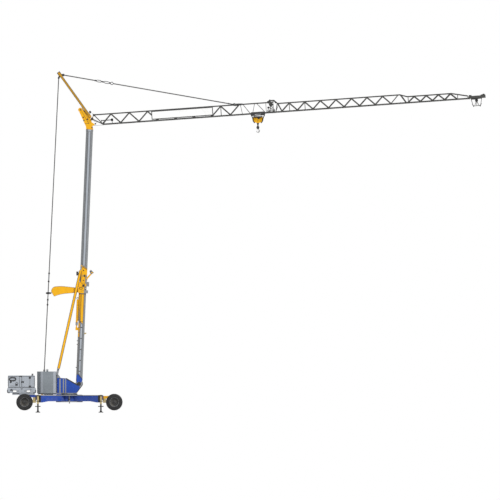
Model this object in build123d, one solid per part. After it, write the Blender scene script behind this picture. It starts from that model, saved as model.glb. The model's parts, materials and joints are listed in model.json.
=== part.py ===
from build123d import *
import os
from math import cos, hypot, radians, sin, sqrt, tan

# Self-erecting tower crane on a road chassis, standing on its four jacks with mast and jib up.
# Millimetres. The origin is on the slewing axis at ground level, +X runs along the jib, +Z is up.

os.makedirs("parts", exist_ok=True)

# Fits
RUN = 0.3  # gap between pieces that turn or slide on each other, and round pieces in holes
CLEAR = 10.0  # gap beside pieces that move past others

# Chassis: hub, spine along X, four arms at 45 degrees
BEAM_Z0 = 710.0
BEAM_Z1 = 1061.0
HUB_FLAT = 560.0  # from the axis to each flat of the eight-sided hub
BASE_R = 840.0
BASE_T = 57.0
RING_R = 500.0
RING_BORE_R = 380.0
RING_T = 42.0
RIB_W = 40.0
RIB_OUT = 60.0
BOX_WALL = 20.0  # plates of the hollow hub, spine and arms
SPINE_W = 400.0
SPINE_Z0 = 790.0
SPINE_X = 2100.0
ARM_W = 300.0
ARM_FLANGE_T = 38.0
ARM_FLANGE_OUT = 20.0
ARM_DROP = 76.0  # how far the arm's underside falls at its outer end
ARM_DROP_R0 = 2007.0
ARM_DROP_R1 = 2567.0

# Jacks
JACK_XY = 1978.0
TUBE_R = 66.0
TUBE_Z0 = 540.0
TUBE_Z1 = 1118.0
LEG_R = 50.0
JACK_LIFT = 110.0  # how far a leg can be drawn up from where it stands
TUBE_CAP = 20.0
BRACKET_R = 115.0
BRACKET_Z0 = 697.0
BRACKET_Z1 = 1099.0
BRACKET_COLLAR = 80.0
BRACKET_BACK = 30.0
STRAP_BULGE = 60.0  # how far the straps between the collars bow out
STRAP_T = 30.0
STRAP_W = 100.0
HANDLE_Z = 389.0
HANDLE_L = 308.0
HANDLE_T = 56.0
FOOT_W = 300.0
FOOT_T = 38.0
FOOT_CONE_Z = 138.0
FOOT_HOLE = 110.0
FOOT_HOLE_R = 11.0

# Axles and wheels
AXLE_X = 2818.0
AXLE_Z = 659.0
AXLE_R = 60.0
AXLE_SHORT = 30.0  # the axle beam ends this far inside the tyre
STUB_R = 45.0
STUB_OUT = 55.0
WHEEL_Y = 950.0
TYRE_R = 526.0
TYRE_W = 300.0
BEAD = 22.0
SHOULDER = 45.0
RIM_R = 285.0
RIM_T = 22.0
RIM_CONE = 40.0
DISC_T = 20.0
HUB_R = 105.0
HUB_IN = 60.0
HUB_OUT = 70.0
CARRIER_X1 = 3130.0
RAIL_Y0 = 300.0
RAIL_Y1 = 420.0
REAR_RAIL_Z0 = 960.0
FRONT_RAIL_Z0 = 879.0
FRONT_RAIL_Z1 = 1049.0
CROSS_X = 150.0
SPRING_T = 60.0
SPRING_Y0 = 310.0
SPRING_Y1 = 390.0
SPRING_PAD = 30.0
HANGER_X0 = 2098.0
HANGER_W = 200.0
SHACKLE_W = 80.0
HANGER_Z0 = 615.0

# Generator on the rear carrier
GEN_X0 = -3858.0
GEN_X1 = -2167.0
GEN_W = 950.0
GEN_Z0 = 1570.0
GEN_Z1 = 2330.0
GEN_ROUND = 35.0
SKID_X0 = -3900.0
SKID_X1 = -2104.0
SKID_Z0 = 1231.0
SKID_ROUND = 70.0
PLINTH_X0 = -3586.0
PLINTH_X1 = -2173.0
PLINTH_Z0 = 1112.0
PLINTH_IN = 20.0
POCKET_W = 230.0
POCKET_H = 110.0
POCKET_X = 430.0
POCKET_UP = 110.0
EXHAUST_X = -2324.0
EXHAUST_R = 45.0
EXHAUST_BORE_R = 36.0
EXHAUST_Z = 2424.0
DOOR_T = 15.0
DOOR_EDGE = 40.0
DOOR_GAP = 14.0
PANEL_X = -3166.0
GEN_POST_W = 184.0

# Slewing platform
DECK_X0 = -823.0
DECK_X1 = 450.0
DECK_W = 840.0
DECK_T = 34.0
TRAY_X0 = -1990.0
TRAY_W = 1200.0
TRAY_T = 60.0
CHEEK_X0 = -785.0
CHEEK_Y0 = 300.0
CHEEK_T = 60.0
CHEEK_Z1 = 2180.0
CHEEK_BEND_X = -195.0  # where the cheek's upper edge turns down to the mast's pivot
CHEEK_BEND_Z = 2141.0
CHEEK_NOSE_DOWN = 132.0  # the cheek's nose below the pivot
CHEEK_NOSE_H = 138.0
CHEEK_NOSE_X = 57.0
RIBS = ((-641.0, 95.0), (-414.0, 75.0), (-264.0, 63.0))  # each rib's edge and width
RIB_T = 14.0
RIB_SHORT = 60.0  # how far a rib ends below the cheek's top
FORK_X0 = 60.0
FORK_R = 228.0
FORK_BOSS_R = 120.0
FORK_BOSS_T = 70.0
POST_X = -1576.0
POST_W = 300.0
POST_D = 250.0
WEIGHT_X0 = -2028.0
WEIGHT_X1 = -829.0
WEIGHT_Z1 = 2581.0
WEIGHT_GAP = 190.0  # from the middle to each block
WEIGHT_W = 1050.0
WEIGHT_TAIL_W = 480.0
WEIGHT_SHOULDER_W = 900.0
WEIGHT_SHOULDER = 229.0  # from the tail to the first bend
WEIGHT_BEND = 150.0  # along X over the second bend
WEIGHT_FRONT_W = 840.0
WEIGHT_FRONT = 31.0
LUG_X = -1388.0
LUG_W = 124.0
LUG_H = 89.0
LUG_Y = 575.0
LUG_T = 30.0

# Mast: pivot pin at the foot, leaning towards the jib
PIVOT_X = 609.0
PIVOT_Z = 1815.0
PIVOT_R = 60.0
LEAN = 2.37
MAST_LOW_W = 408.0
MAST_LOW_T = 12.0
MAST_FOOT_S = 130.0
MAST_UP_W = 440.0
MAST_UP_S0 = 5682.0
MAST_TOP_S = 15984.0
MAST_LAP = 1500.0
BAND_H = 125.0
BAND_OUT = 8.0
FOOT_PLATE_T = 46.0
SLOT_S0 = 772.0
SLOT_PITCH = 690.0
SLOT_W = 60.0
SLOT_H = 34.0
SLOT_COUNT = 5
SKIRT_T = 20.0
SKIRT_S0 = 3770.0
SKIRT_S1 = 5640.0
SKIRT_X1 = 92.0
SKIRT_SLANT = 130.0  # how much higher the skirt's lower edge is at the rear of its side face
SKIRT_REAR_S0 = 4990.0
RACK_S0 = 2940.0
RACK_L = 260.0
RACK_PITCH = 310.0
RACK_COUNT = 3
RACK_W = 80.0
COLLAR_T = 30.0
COLLAR_S0 = 5690.0
COLLAR_LOW = 600.0  # heights of the collar's three steps
COLLAR_MID = 600.0
COLLAR_TOP = 335.0
COLLAR_RISE = 240.0  # how much higher its top is at the rear
COLLAR_WAIST = 122.0
COLLAR_REAR = 160.0
COLLAR_BAND_W = 90.0
COLLAR_BAND_T = 14.0
REST_Y = 90.0
REST_ARM_T = 40.0
REST_ARM_W = 95.0
REST_S = 6595.0  # where the arm of the jib rest starts, and how far it reaches
REST_REACH = 231.0
REST_RISE = 309.0
REST_BOX_S = 6120.0
REST_BOX_H = 286.0
REST_BOX_REACH = 149.0
LATCH_X0 = 65.0
LATCH_REACH = 100.0
LATCH_H = 190.0
CYLINDER_OUT = 105.0  # the climbing cylinder's axis behind the mast
CYLINDER_R = 62.0
CYLINDER_S0 = 3850.0
CYLINDER_S1 = 5280.0
CYLINDER_ROD_R = 40.0
CYLINDER_LUG_S = 3350.0
CYLINDER_LUG_H = 180.0
STRUT_Y = 330.0
STRUT_W = 150.0
STRUT_T = 110.0
STRUT_TOP_X = -150.0
STRUT_TOP_S = 7400.0
STRUT_PIN_R = 40.0
STRUT_EYE_R = 75.0
STRUT_FOOT_X = -775.0
STRUT_FOOT_Z = 2355.0
CLEVIS_W = 80.0
CLEVIS_T = 80.0
CLEVIS_L = 400.0
CLEVIS_TOP_L = 280.0

# Head, apex and stays
HEAD_W = 360.0
HEAD_T = 30.0
HEAD_FOOT_T = 40.0
HEAD_NOSE_BACK = 598.0  # the round nose of the head, from the mast's top
HEAD_NOSE_UP = 1231.0
HEAD_NOSE_R = 125.0
HEAD_BOSS_R = 42.0
HEAD_BOSS_OUT = 14.0
HEAD_BOSSES = ((-567.0, 1231.0), (-397.0, 754.0), (-359.0, 565.0), (-133.0, 641.0), (155.0, 119.0))
HEAD_STRAP_T = 12.0
ROLLER_AHEAD = 243.0  # the hoist rope's roller, from the mast's top
ROLLER_UP = 307.0
JIB_PIVOT_AHEAD = 149.0
JIB_PIVOT_UP = 659.0
PIVOT_BOSS_R = 95.0
APEX_FOOT_AHEAD = 20.0
APEX_FOOT_UP = 815.0
APEX_BACK = 1924.0  # the apex from the foot of its strut
APEX_RISE = 2689.0
APEX_LEG_W = 150.0
APEX_LEG_T = 60.0
APEX_TUBES = 3
APEX_TUBE_R = 40.0
STAY_R = 30.0
STAY_Y = 90.0
GUIDE_GAP = 8.0
GUIDE_Z = 7504.0
GUIDE_L = 300.0
GUIDE_H = 145.0
GUIDE_NECK = 60.0
GUIDE_NECK_H = 100.0
GUIDE_ARM_T = 140.0
GUIDE_ARM_S0 = 5720.0
GUIDE_ARM_S1 = 6010.0
GUIDE_ARM_UP = 420.0  # the back of the curved arm above the guide
GUIDE_ARM_DOWN = 210.0
GUIDE_ARM_ROUND = 240.0
EYE_T = 40.0
EYE_R = 62.0
PIN_R = 25.0
APEX_BLOCK_BACK = 151.0  # reach of the apex block behind, ahead, below and above the apex
APEX_BLOCK_AHEAD = 182.0
APEX_BLOCK_DOWN = 213.0
APEX_BLOCK_UP = 126.0
BACKSTAY_BACK = 38.0  # the backstay's pin from the apex
BACKSTAY_DROP = 66.0  # and from the underside of the apex block
BACKSTAY_FOOT_Z = 2640.0
JIBSTAY_AHEAD = 72.0  # the jib stay's pin from the front of the apex block
JIBSTAY_DOWN = 88.0
LUG_EDGE = 50.0  # metal of a lug round its pin's middle

# Jib: its own frame has u along the lower chords from their root, v square to them
JIB_ROOT_AHEAD = 660.0  # the root of the lower chords from the jib's pivot
JIB_ROOT_DOWN = 334.0
SLOPE = 4.05
GAUGE = 400.0  # from the middle to each lower chord
CHORD = 80.0
CHORD_WALL = 6.0
BRACE = 46.0
THIN_BRACE = 30.0
THICK_BRACE = 76.0
FLANGE_W = 50.0
FLANGE_T = 12.0
DEPTH1 = 622.0
DEPTH2 = 520.0
DEPTH3 = 373.0
ROOT_U = -547.0
PITCH1 = 1151.0
PANELS1 = 8
SEC1_END = 1151.0  # lightly braced end of the first section
# Low and top ends of the thin bars, past the last node
THIN_BARS = ((-391.0, -491.0), (105.0, -332.0), (250.0, 407.0), (1056.0, 536.0))
JOINT1_L = 710.0  # fold joint between the first two sections
FRAME_U = 262.0  # end frames inside the fold joint
FRAME_PITCH = 150.0
FOLD_R = 112.0
FOLD_LOW_R = 60.0
FOLD_UP = 150.0  # the fold's link above the upper chord
LINK_T = 60.0
SEC2_NODE = 227.0  # from a section's end to its first node
SEC2_END = 385.0  # how much the last panel falls short of a whole pitch
PITCH2 = 980.0
PANELS2 = 8
JOINT2_L = 453.0
SEC3_NODE = 56.0
SEC3_END = 730.0  # from the last node to the tip
TIP_V = 150.0  # height of the upper chord at the tip
BEND_U = 90.0  # from the last upper node to the bend of the upper chord
TIP_POST_U = 62.0  # from the last lower node to the post behind the bend
PITCH3 = 762.0
PANELS3 = 4
JIB_PIN_R = 40.0
STAY_U = 8440.0
BOARD_U0 = 3104.0
BOARD_U1 = 6982.0
BOARD_T = 12.0
TIP_L = 1083.0
TIP_FLAT = 320.0
TIP_NOSE_W = 150.0
TIP_WALL = 20.0
TIP_H = 176.0
CAGE_U = 144.0
CAGE_L = 707.0
CAGE_SLANT = 108.0
CAGE_DEPTH = 480.0
CAGE_AXLE = 130.0  # from the cage's top down to its axle
CAGE_RIM = 36.0
CAGE_Y = 140.0
CAGE_T = 24.0
RETURN_R = 95.0
WINCH_V = 235.0
WINCH_U0 = -100.0
WINCH_L = 790.0
WINCH_R = 55.0
WINCH_MOTOR_R = 85.0
WINCH_MOTOR_L = 130.0

# Trolley and hook block
TROLLEY_U = 9783.0
TROLLEY_L = 880.0
ROLLER_R = 45.0
ROLLER_W = 36.0
ROLLER_U = 335.0
ROLLER_PIN_R = 14.0
SIDE_T = 16.0
SIDE_UP = 70.0  # the side plate above the axles
SIDE_V0 = -60.0
CROSS_V = -75.0
CROSS_H = 30.0
CROSS_W = 60.0
BEAM_Y = 118.0
BEAM_T = 24.0
FUNNEL_X = 276.0
FUNNEL_UP = 150.0
FUNNEL_W = 36.0
BLOCK_DROP = 243.0  # the block's top below the jib's lower chords
BLOCK_W = 610.0
BLOCK_H = 371.0
BLOCK_Y = 85.0
CHEEK2_T = 14.0
SHEAVE_DROP = 70.0  # the block's sheaves below the top of its cheeks
SHEAVE_PIN_R = 26.0
SHEAVE_R = 115.0
SHEAVE_T = 44.0
SHEAVE_X = 140.0
FALL_R = 9.0
ROPE_V = -52.0
ROPE_GAP = 5.0
TOP_SHEAVE_R = 50.0
TOP_PIN_R = 16.0
NECK_L = 164.0
SWIVEL_H = 201.0
SWIVEL_R = 95.0
NECK_R = 38.0
HOOK_R = 92.0
HOOK_T = 46.0

# Sizes that follow from the others
BASE_TOP = BEAM_Z1 + BASE_T
RING_TOP = BASE_TOP + 2 * RING_T + RUN
DECK_Z1 = RING_TOP + DECK_T
JACK_R = JACK_XY * sqrt(2)
LEG_TOP = TUBE_Z1 - TUBE_CAP - JACK_LIFT - CLEAR
ARM_END = JACK_R - BRACKET_R - BRACKET_BACK / 2
LUG_Y0 = MAST_LOW_W / 2 + FOOT_PLATE_T
HEAD_X = PIVOT_X + MAST_TOP_S * sin(radians(LEAN))
HEAD_Z = PIVOT_Z + MAST_TOP_S * cos(radians(LEAN))
JIB_PIVOT_X = HEAD_X + JIB_PIVOT_AHEAD
JIB_PIVOT_Z = HEAD_Z + JIB_PIVOT_UP
APEX_FOOT_X = HEAD_X + APEX_FOOT_AHEAD
APEX_FOOT_Z = HEAD_Z + APEX_FOOT_UP
APEX_X = APEX_FOOT_X - APEX_BACK
APEX_Z = APEX_FOOT_Z + APEX_RISE
JIB_X0 = JIB_PIVOT_X + JIB_ROOT_AHEAD
JIB_Z0 = JIB_PIVOT_Z - JIB_ROOT_DOWN
APEX_BLOCK_Z0 = APEX_Z - APEX_BLOCK_DOWN
APEX_BLOCK_X1 = APEX_X + APEX_BLOCK_AHEAD
BACKSTAY_TOP_X = APEX_X - BACKSTAY_BACK
BACKSTAY_TOP_Z = APEX_BLOCK_Z0 - BACKSTAY_DROP
JIBSTAY_TOP_X = APEX_BLOCK_X1 + JIBSTAY_AHEAD
JIBSTAY_TOP_Z = APEX_Z - JIBSTAY_DOWN
SEC1_U1 = PITCH1 * PANELS1 + SEC1_END
SEC2_U0 = SEC1_U1 + JOINT1_L
SEC2_U1 = SEC2_U0 + SEC2_NODE + PITCH2 * PANELS2 - SEC2_END
SEC3_U0 = SEC2_U1 + JOINT2_L
SEC3_U1 = SEC3_U0 + SEC3_NODE + PITCH3 * PANELS3 + SEC3_END
TIP_U1 = SEC3_U1 + TIP_L
TOP_SHEAVE_V = ROPE_V - FALL_R - ROPE_GAP - TOP_SHEAVE_R
TROLLEY_X = JIB_X0 + TROLLEY_U * cos(radians(SLOPE))
BLOCK_Z1 = JIB_Z0 + TROLLEY_U * sin(radians(SLOPE)) - BLOCK_DROP
BLOCK_Z0 = BLOCK_Z1 - BLOCK_H
SHEAVE_Z = BLOCK_Z1 - SHEAVE_DROP
SWIVEL_Z1 = BLOCK_Z0 - NECK_L
SWIVEL_Z0 = SWIVEL_Z1 - SWIVEL_H
JIB_PLACE = Pos(JIB_X0, 0, JIB_Z0) * Rot(0, -SLOPE, 0)
MAST_PLACE = Pos(PIVOT_X, 0, PIVOT_Z) * Rot(0, LEAN, 0)


def block(x, y, z):
    """A box from three pairs of limits."""
    size = Box(x[1] - x[0], y[1] - y[0], z[1] - z[0])
    return Pos((x[0] + x[1]) / 2, (y[0] + y[1]) / 2, (z[0] + z[1]) / 2) * size


def plate(points, y0, y1):
    """An outline in the XZ plane, drawn out from y0 to y1."""
    outline = Polyline(*[(x, y0, z) for x, z in points], close=True)
    return extrude(make_face(outline), amount=y1 - y0, dir=(0, 1, 0))


def pair(points, y0, y1):
    """A plate and its mirror image on the other side."""
    return [plate(points, y0, y1), plate(points, -y1, -y0)]


def cross_pin(x, z, r, y0, y1):
    """A round bar along Y."""
    return Pos(x, (y0 + y1) / 2, z) * Rot(90, 0, 0) * Cylinder(r, y1 - y0)


def rod(p, q, r):
    """A round bar between two points."""
    p = Vector(*p)
    d = Vector(*q) - p
    return extrude(Plane(origin=p, z_dir=d) * Circle(r), amount=d.length)


def bar(p, q, w, h, across=(0, 1, 0)):
    """A bar of rectangular section between two points; w lies along the direction across."""
    p = Vector(*p)
    d = Vector(*q) - p
    return extrude(Plane(origin=p, x_dir=across, z_dir=d) * Rectangle(w, h), amount=d.length)


def joined(shapes):
    """All the shapes as one."""
    return Part() + shapes


def save(name, shape):
    export_step(shape, f"parts/{name}.step")


def side(s, y0, y1):
    """The limits from y0 to y1, on the left for s of 1 and on the right for -1."""
    return sorted((s * y0, s * y1))


def turned(points):
    """A profile of (radius, height), turned about Z."""
    return revolve(make_face(Polyline(*[(r, 0, z) for r, z in points], close=True)), Axis.Z)


def ring(r, bore, z0, z1):
    """A flat ring about Z."""
    return Pos(0, 0, (z0 + z1) / 2) * (Cylinder(r, z1 - z0) - Cylinder(bore, z1 - z0))


def mast_point(x, s):
    """The crane's X and Z of a place x ahead of the mast's axis and s up from its foot pin."""
    a = radians(LEAN)
    return PIVOT_X + x * cos(a) + s * sin(a), PIVOT_Z - x * sin(a) + s * cos(a)


def octagon(width, s0, s1):
    """An eight-sided prism, flat to flat width, from s0 to s1."""
    outline = Rot(0, 0, 22.5) * RegularPolygon(width / 2, 8, major_radius=False)
    return Pos(0, 0, s0) * extrude(outline, amount=s1 - s0)


def corners():
    """The signs of the four corners: rear and front, right and left."""
    return [(x, y) for x in (-1, 1) for y in (-1, 1)]


CORNER_NAMES = {(-1, -1): "rear_right", (-1, 1): "rear_left", (1, -1): "front_right", (1, 1): "front_left"}


# Chassis


def chassis_frame():
    """Eight-sided hub and the two halves of the spine, all hollow boxes."""
    hub = octagon(2 * HUB_FLAT, BEAM_Z0, BEAM_Z1) - octagon(2 * (HUB_FLAT - BOX_WALL), BEAM_Z0, BEAM_Z1)
    half = SPINE_W / 2
    inside = half - BOX_WALL
    outer = block((HUB_FLAT, SPINE_X), (-half, half), (SPINE_Z0, BEAM_Z1))
    spine = outer - block((HUB_FLAT, SPINE_X), (-inside, inside), (SPINE_Z0 + BOX_WALL, BEAM_Z1 - BOX_WALL))
    return joined([hub] + [Rot(0, 0, turn) * spine for turn in (0, 180)])


def slewing_base():
    """Round plates above and below the hub, the fixed half of the slewing ring, and the arms' top flanges."""
    top = ring(BASE_R, RING_BORE_R, BEAM_Z1, BASE_TOP)
    low = ring(BASE_R, RING_BORE_R, BEAM_Z0 - BASE_T, BEAM_Z0)
    race = ring(RING_R, RING_BORE_R, BASE_TOP, BASE_TOP + RING_T)
    sides = [side(s, HUB_FLAT, HUB_FLAT + RIB_OUT) for s in (-1, 1)]
    ribs = [block((-RIB_W, RIB_W), y, (BEAM_Z0, BEAM_Z1)) for y in sides]
    edge = ARM_W / 2 + ARM_FLANGE_OUT
    flange = block((BASE_R - BASE_T, ARM_END), (-edge, edge), (BEAM_Z1, BEAM_Z1 + ARM_FLANGE_T))
    return joined([top, low, race] + ribs + [turn * flange for turn in arm_turns()])


def arm_turns():
    """The turns that bring a piece along +X to the four corners."""
    return [Rot(0, 0, 45 + 90 * i) for i in range(4)]


def arm_outline(inset):
    """The side of one arm, drawn in by a wall; its outer end stays open."""
    return [
        (HUB_FLAT + inset, BEAM_Z0 + inset),
        (ARM_DROP_R0, BEAM_Z0 + inset),
        (ARM_DROP_R1, BEAM_Z0 - ARM_DROP + inset),
        (ARM_END, BEAM_Z0 - ARM_DROP + inset),
        (ARM_END, BEAM_Z1 - inset),
        (HUB_FLAT + inset, BEAM_Z1 - inset),
    ]


def outrigger_arm():
    """One hollow arm along +X, before it is turned to its corner."""
    half = ARM_W / 2
    return plate(arm_outline(0), -half, half) - plate(arm_outline(BOX_WALL), BOX_WALL - half, half - BOX_WALL)


def jack_bracket():
    """Two collars round the jack tube with bowed straps between them, and the plate on the arm's end."""
    mid = (BRACKET_Z0 + BRACKET_Z1) / 2
    bow = BRACKET_R + STRAP_BULGE
    outer = [(BRACKET_R, BRACKET_Z0), (bow, mid), (BRACKET_R, BRACKET_Z1)]
    shell = turned(outer + [(r - STRAP_T, z) for r, z in reversed(outer)])
    half = STRAP_W / 2
    height = (BRACKET_Z0, BRACKET_Z1)
    shell -= [block(side(x, half, bow), side(y, half, bow), height) for x, y in corners()]
    shell -= block((-bow, -half), (-half, half), height)
    low = ring(BRACKET_R, TUBE_R + RUN, BRACKET_Z0, BRACKET_Z0 + BRACKET_COLLAR)
    top = ring(BRACKET_R, TUBE_R + RUN, BRACKET_Z1 - BRACKET_COLLAR, BRACKET_Z1)
    back = block((ARM_END - JACK_R, ARM_END - JACK_R + BRACKET_BACK), (-BRACKET_R, BRACKET_R), height)
    return Pos(JACK_R, 0, 0) * joined([shell, low, top, back])


def jack_tube():
    height = TUBE_Z1 - TUBE_Z0
    tube = Pos(JACK_R, 0, TUBE_Z0 + height / 2) * Cylinder(TUBE_R, height)
    bore_top = TUBE_Z1 - TUBE_CAP
    bore = Pos(JACK_R, 0, (TUBE_Z0 + bore_top) / 2) * Cylinder(LEG_R + RUN, bore_top - TUBE_Z0)
    return tube - bore


def jack_leg(sx, sy):
    shaft = Pos(0, 0, (FOOT_CONE_Z + LEG_TOP) / 2) * Cylinder(LEG_R, LEG_TOP - FOOT_CONE_Z)
    height = FOOT_CONE_Z - FOOT_T
    cone = Pos(0, 0, FOOT_T + height / 2) * Cone(FOOT_W / 2 - 60, LEG_R, height)
    half = FOOT_W / 2
    foot = block((-half, half), (-half, half), (0, FOOT_T))
    handle = block((-HANDLE_L / 2, HANDLE_L / 2), (-HANDLE_T / 2, HANDLE_T / 2),
                   (HANDLE_Z - HANDLE_T / 2, HANDLE_Z + HANDLE_T / 2))
    hole = Cylinder(FOOT_HOLE_R, 4 * FOOT_T)
    holes = [Pos(x * FOOT_HOLE, y * FOOT_HOLE, 0) * hole for x, y in corners()]
    leg = joined([shaft, cone, foot, handle])
    leg -= holes
    return Pos(sx * JACK_XY, sy * JACK_XY, 0) * leg


def carrier(z0, z1):
    """The frame over one axle, towards +X: two rails and two cross members."""
    rails = [block((SPINE_X, CARRIER_X1), y, (z0, z1)) for y in ((RAIL_Y0, RAIL_Y1), (-RAIL_Y1, -RAIL_Y0))]
    inner = block((SPINE_X, SPINE_X + CROSS_X), (-RAIL_Y1, RAIL_Y1), (z0, z1))
    outer = block((CARRIER_X1 - CROSS_X, CARRIER_X1), (-RAIL_Y1, RAIL_Y1), (z0, z1))
    return joined(rails + [inner, outer])


def suspension(rail_z0):
    """Axle, leaf springs, hangers and shackles under one carrier, towards +X."""
    beam_y = WHEEL_Y - TYRE_W / 2 - AXLE_SHORT
    shapes = [cross_pin(AXLE_X, AXLE_Z, AXLE_R, -beam_y, beam_y)]
    shapes.append(cross_pin(AXLE_X, AXLE_Z, STUB_R, -WHEEL_Y - STUB_OUT, WHEEL_Y + STUB_OUT))
    spring_z = AXLE_Z + SPRING_PAD + AXLE_R / 2
    for s in (-1, 1):
        y = side(s, SPRING_Y0, SPRING_Y1)
        outside = side(s, SPRING_Y1, RAIL_Y1)
        leaf = (HANGER_X0 + HANGER_W / 2, CARRIER_X1 - SHACKLE_W / 2)
        shapes.append(block(leaf, y, (spring_z, spring_z + SPRING_T)))
        shapes.append(block((AXLE_X - AXLE_R, AXLE_X + AXLE_R), y, (AXLE_Z, spring_z)))
        shapes.append(block((HANGER_X0, HANGER_X0 + HANGER_W), outside, (HANGER_Z0, rail_z0)))
        shackle = (CARRIER_X1 - 3 * SHACKLE_W / 2, CARRIER_X1 - SHACKLE_W / 2)
        shapes.append(block(shackle, outside, (spring_z, rail_z0)))
    return joined(shapes)


def turned_wheel(points):
    """A profile of (radius, place along the axle), turned about Y."""
    return Rot(-90, 0, 0) * turned(points)


def tyre():
    half = TYRE_W / 2
    bead = [(RIM_R, half - BEAD), (RIM_R + 2 * BEAD, half)]
    wall = bead + [(TYRE_R - SHOULDER, half), (TYRE_R, half - SHOULDER)]
    return turned_wheel(wall + [(r, -y) for r, y in reversed(wall)])


def rim():
    """The wheel's steel rim, disc and hub; its open side faces +Y."""
    r = RIM_R - RUN
    bore = STUB_R + RUN
    half = TYRE_W / 2 - BEAD
    band = r - RIM_T
    outline = [
        (bore, -HUB_IN),
        (HUB_R, -HUB_IN),
        (HUB_R, -DISC_T / 2),
        (band, -DISC_T / 2),
        (band, -half),
        (r, -half),
        (r, half),
        (band, half),
        (band - RIM_CONE, DISC_T / 2),
        (HUB_R, DISC_T / 2),
        (HUB_R, HUB_OUT),
        (bore, HUB_OUT),
    ]
    return turned_wheel(outline)


def generator_base():
    """Plinth on the carrier and a rounded skid with two pockets for lifting forks."""
    half = GEN_W / 2
    plinth = block((PLINTH_X0, PLINTH_X1), (PLINTH_IN - half, half - PLINTH_IN), (PLINTH_Z0, SKID_Z0))
    skid = block((SKID_X0, SKID_X1), (-half, half), (SKID_Z0, GEN_Z0))
    skid = fillet(skid.edges().filter_by(Axis.Y), SKID_ROUND)
    mid = (SKID_X0 + SKID_X1) / 2
    pocket = Box(POCKET_W, 2 * GEN_W, POCKET_H)
    places = [Pos(mid + s * POCKET_X, 0, SKID_Z0 + POCKET_UP) for s in (-1, 1)]
    return joined([plinth, skid]) - [place * pocket for place in places]


def generator_housing():
    half = GEN_W / 2
    body = block((GEN_X0, GEN_X1), (-half, half), (GEN_Z0, GEN_Z1))
    body = fillet(body.edges().group_by(Axis.Z)[-1], GEN_ROUND)
    pipe = Pos(EXHAUST_X, 0, 0) * ring(EXHAUST_R, EXHAUST_BORE_R, GEN_Z1, EXHAUST_Z)
    return joined([body, pipe])


def generator_doors():
    """On each side a fixed panel, a post and a service door."""
    y0 = GEN_W / 2
    z0 = GEN_Z0 + DOOR_EDGE
    z1 = GEN_Z1 - GEN_ROUND - DOOR_EDGE
    bounds = (GEN_X0 + DOOR_EDGE, PANEL_X, PANEL_X + GEN_POST_W, GEN_X1 - DOOR_EDGE)
    shapes = []
    for x0, x1 in zip(bounds, bounds[1:]):
        x = (x0 + DOOR_GAP / 2, x1 - DOOR_GAP / 2)
        shapes += [block(x, side(s, y0, y0 + DOOR_T), (z0, z1)) for s in (-1, 1)]
    return joined(shapes)


# Slewing platform


def platform_deck():
    """Upper half of the slewing ring, deck, tray under the counterweight and the post for the backstay."""
    race = ring(RING_R, RING_BORE_R, RING_TOP - RING_T, RING_TOP)
    deck = block((DECK_X0, DECK_X1), (-DECK_W / 2, DECK_W / 2), (RING_TOP, DECK_Z1))
    tray = block((TRAY_X0, -RING_R - CLEAR), (-TRAY_W / 2, TRAY_W / 2), (RING_TOP - TRAY_T, RING_TOP))
    x = (POST_X - POST_D / 2, POST_X + POST_D / 2)
    post_top = BACKSTAY_FOOT_Z - EYE_R - CLEAR
    post = block(x, (-POST_W / 2, POST_W / 2), (RING_TOP, post_top))
    lug_z = (post_top, BACKSTAY_FOOT_Z + EYE_R)
    lug = block((POST_X - EYE_R, POST_X + EYE_R), (-EYE_T / 2, EYE_T / 2), lug_z)
    pin = cross_pin(POST_X, BACKSTAY_FOOT_Z, PIN_R, -STAY_Y - EYE_T, STAY_Y + EYE_T)
    return joined([race, deck, tray, post, lug, pin])


def platform_cheeks():
    """Side walls of the platform, sloping down to the mast's pivot."""
    nose_z = PIVOT_Z - CHEEK_NOSE_DOWN
    outline = [
        (CHEEK_X0, DECK_Z1),
        (CHEEK_X0, CHEEK_Z1),
        (CHEEK_BEND_X, CHEEK_BEND_Z),
        (PIVOT_X, nose_z),
        (PIVOT_X + CHEEK_NOSE_X, nose_z - CHEEK_NOSE_H),
        (DECK_X1, DECK_Z1),
    ]
    cheeks = joined(pair(outline, CHEEK_Y0, CHEEK_Y0 + CHEEK_T))
    reach = CHEEK_Y0 + CHEEK_T
    return cheeks - cross_pin(PIVOT_X, PIVOT_Z, FORK_BOSS_R + RUN, -reach, reach)


def cheek_ribs():
    """Upright stiffeners on the outside of the cheeks."""
    y0 = CHEEK_Y0 + CHEEK_T
    shapes = []
    height = (DECK_Z1, CHEEK_Z1 - RIB_SHORT)
    for x, width in RIBS:
        shapes += [block((x, x + width), side(s, y0, y0 + RIB_T), height) for s in (-1, 1)]
    return joined(shapes)


def mast_fork():
    """Lug plates with the pin on which the mast stands."""
    foot = [
        (FORK_X0, DECK_Z1),
        (DECK_X1, DECK_Z1),
        (PIVOT_X + FORK_R * cos(radians(20)), PIVOT_Z - FORK_R * sin(radians(20))),
        (PIVOT_X - FORK_R * cos(radians(40)), PIVOT_Z + FORK_R * sin(radians(40))),
    ]
    shapes = pair(foot, LUG_Y0, CHEEK_Y0)
    for s in (-1, 1):
        shapes.append(cross_pin(PIVOT_X, PIVOT_Z, FORK_R, *side(s, LUG_Y0, CHEEK_Y0)))
        shapes.append(cross_pin(PIVOT_X, PIVOT_Z, FORK_BOSS_R, *side(s, CHEEK_Y0, CHEEK_Y0 + FORK_BOSS_T)))
    shapes.append(cross_pin(PIVOT_X, PIVOT_Z, PIVOT_R, -CHEEK_Y0, CHEEK_Y0))
    return joined(shapes)


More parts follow.
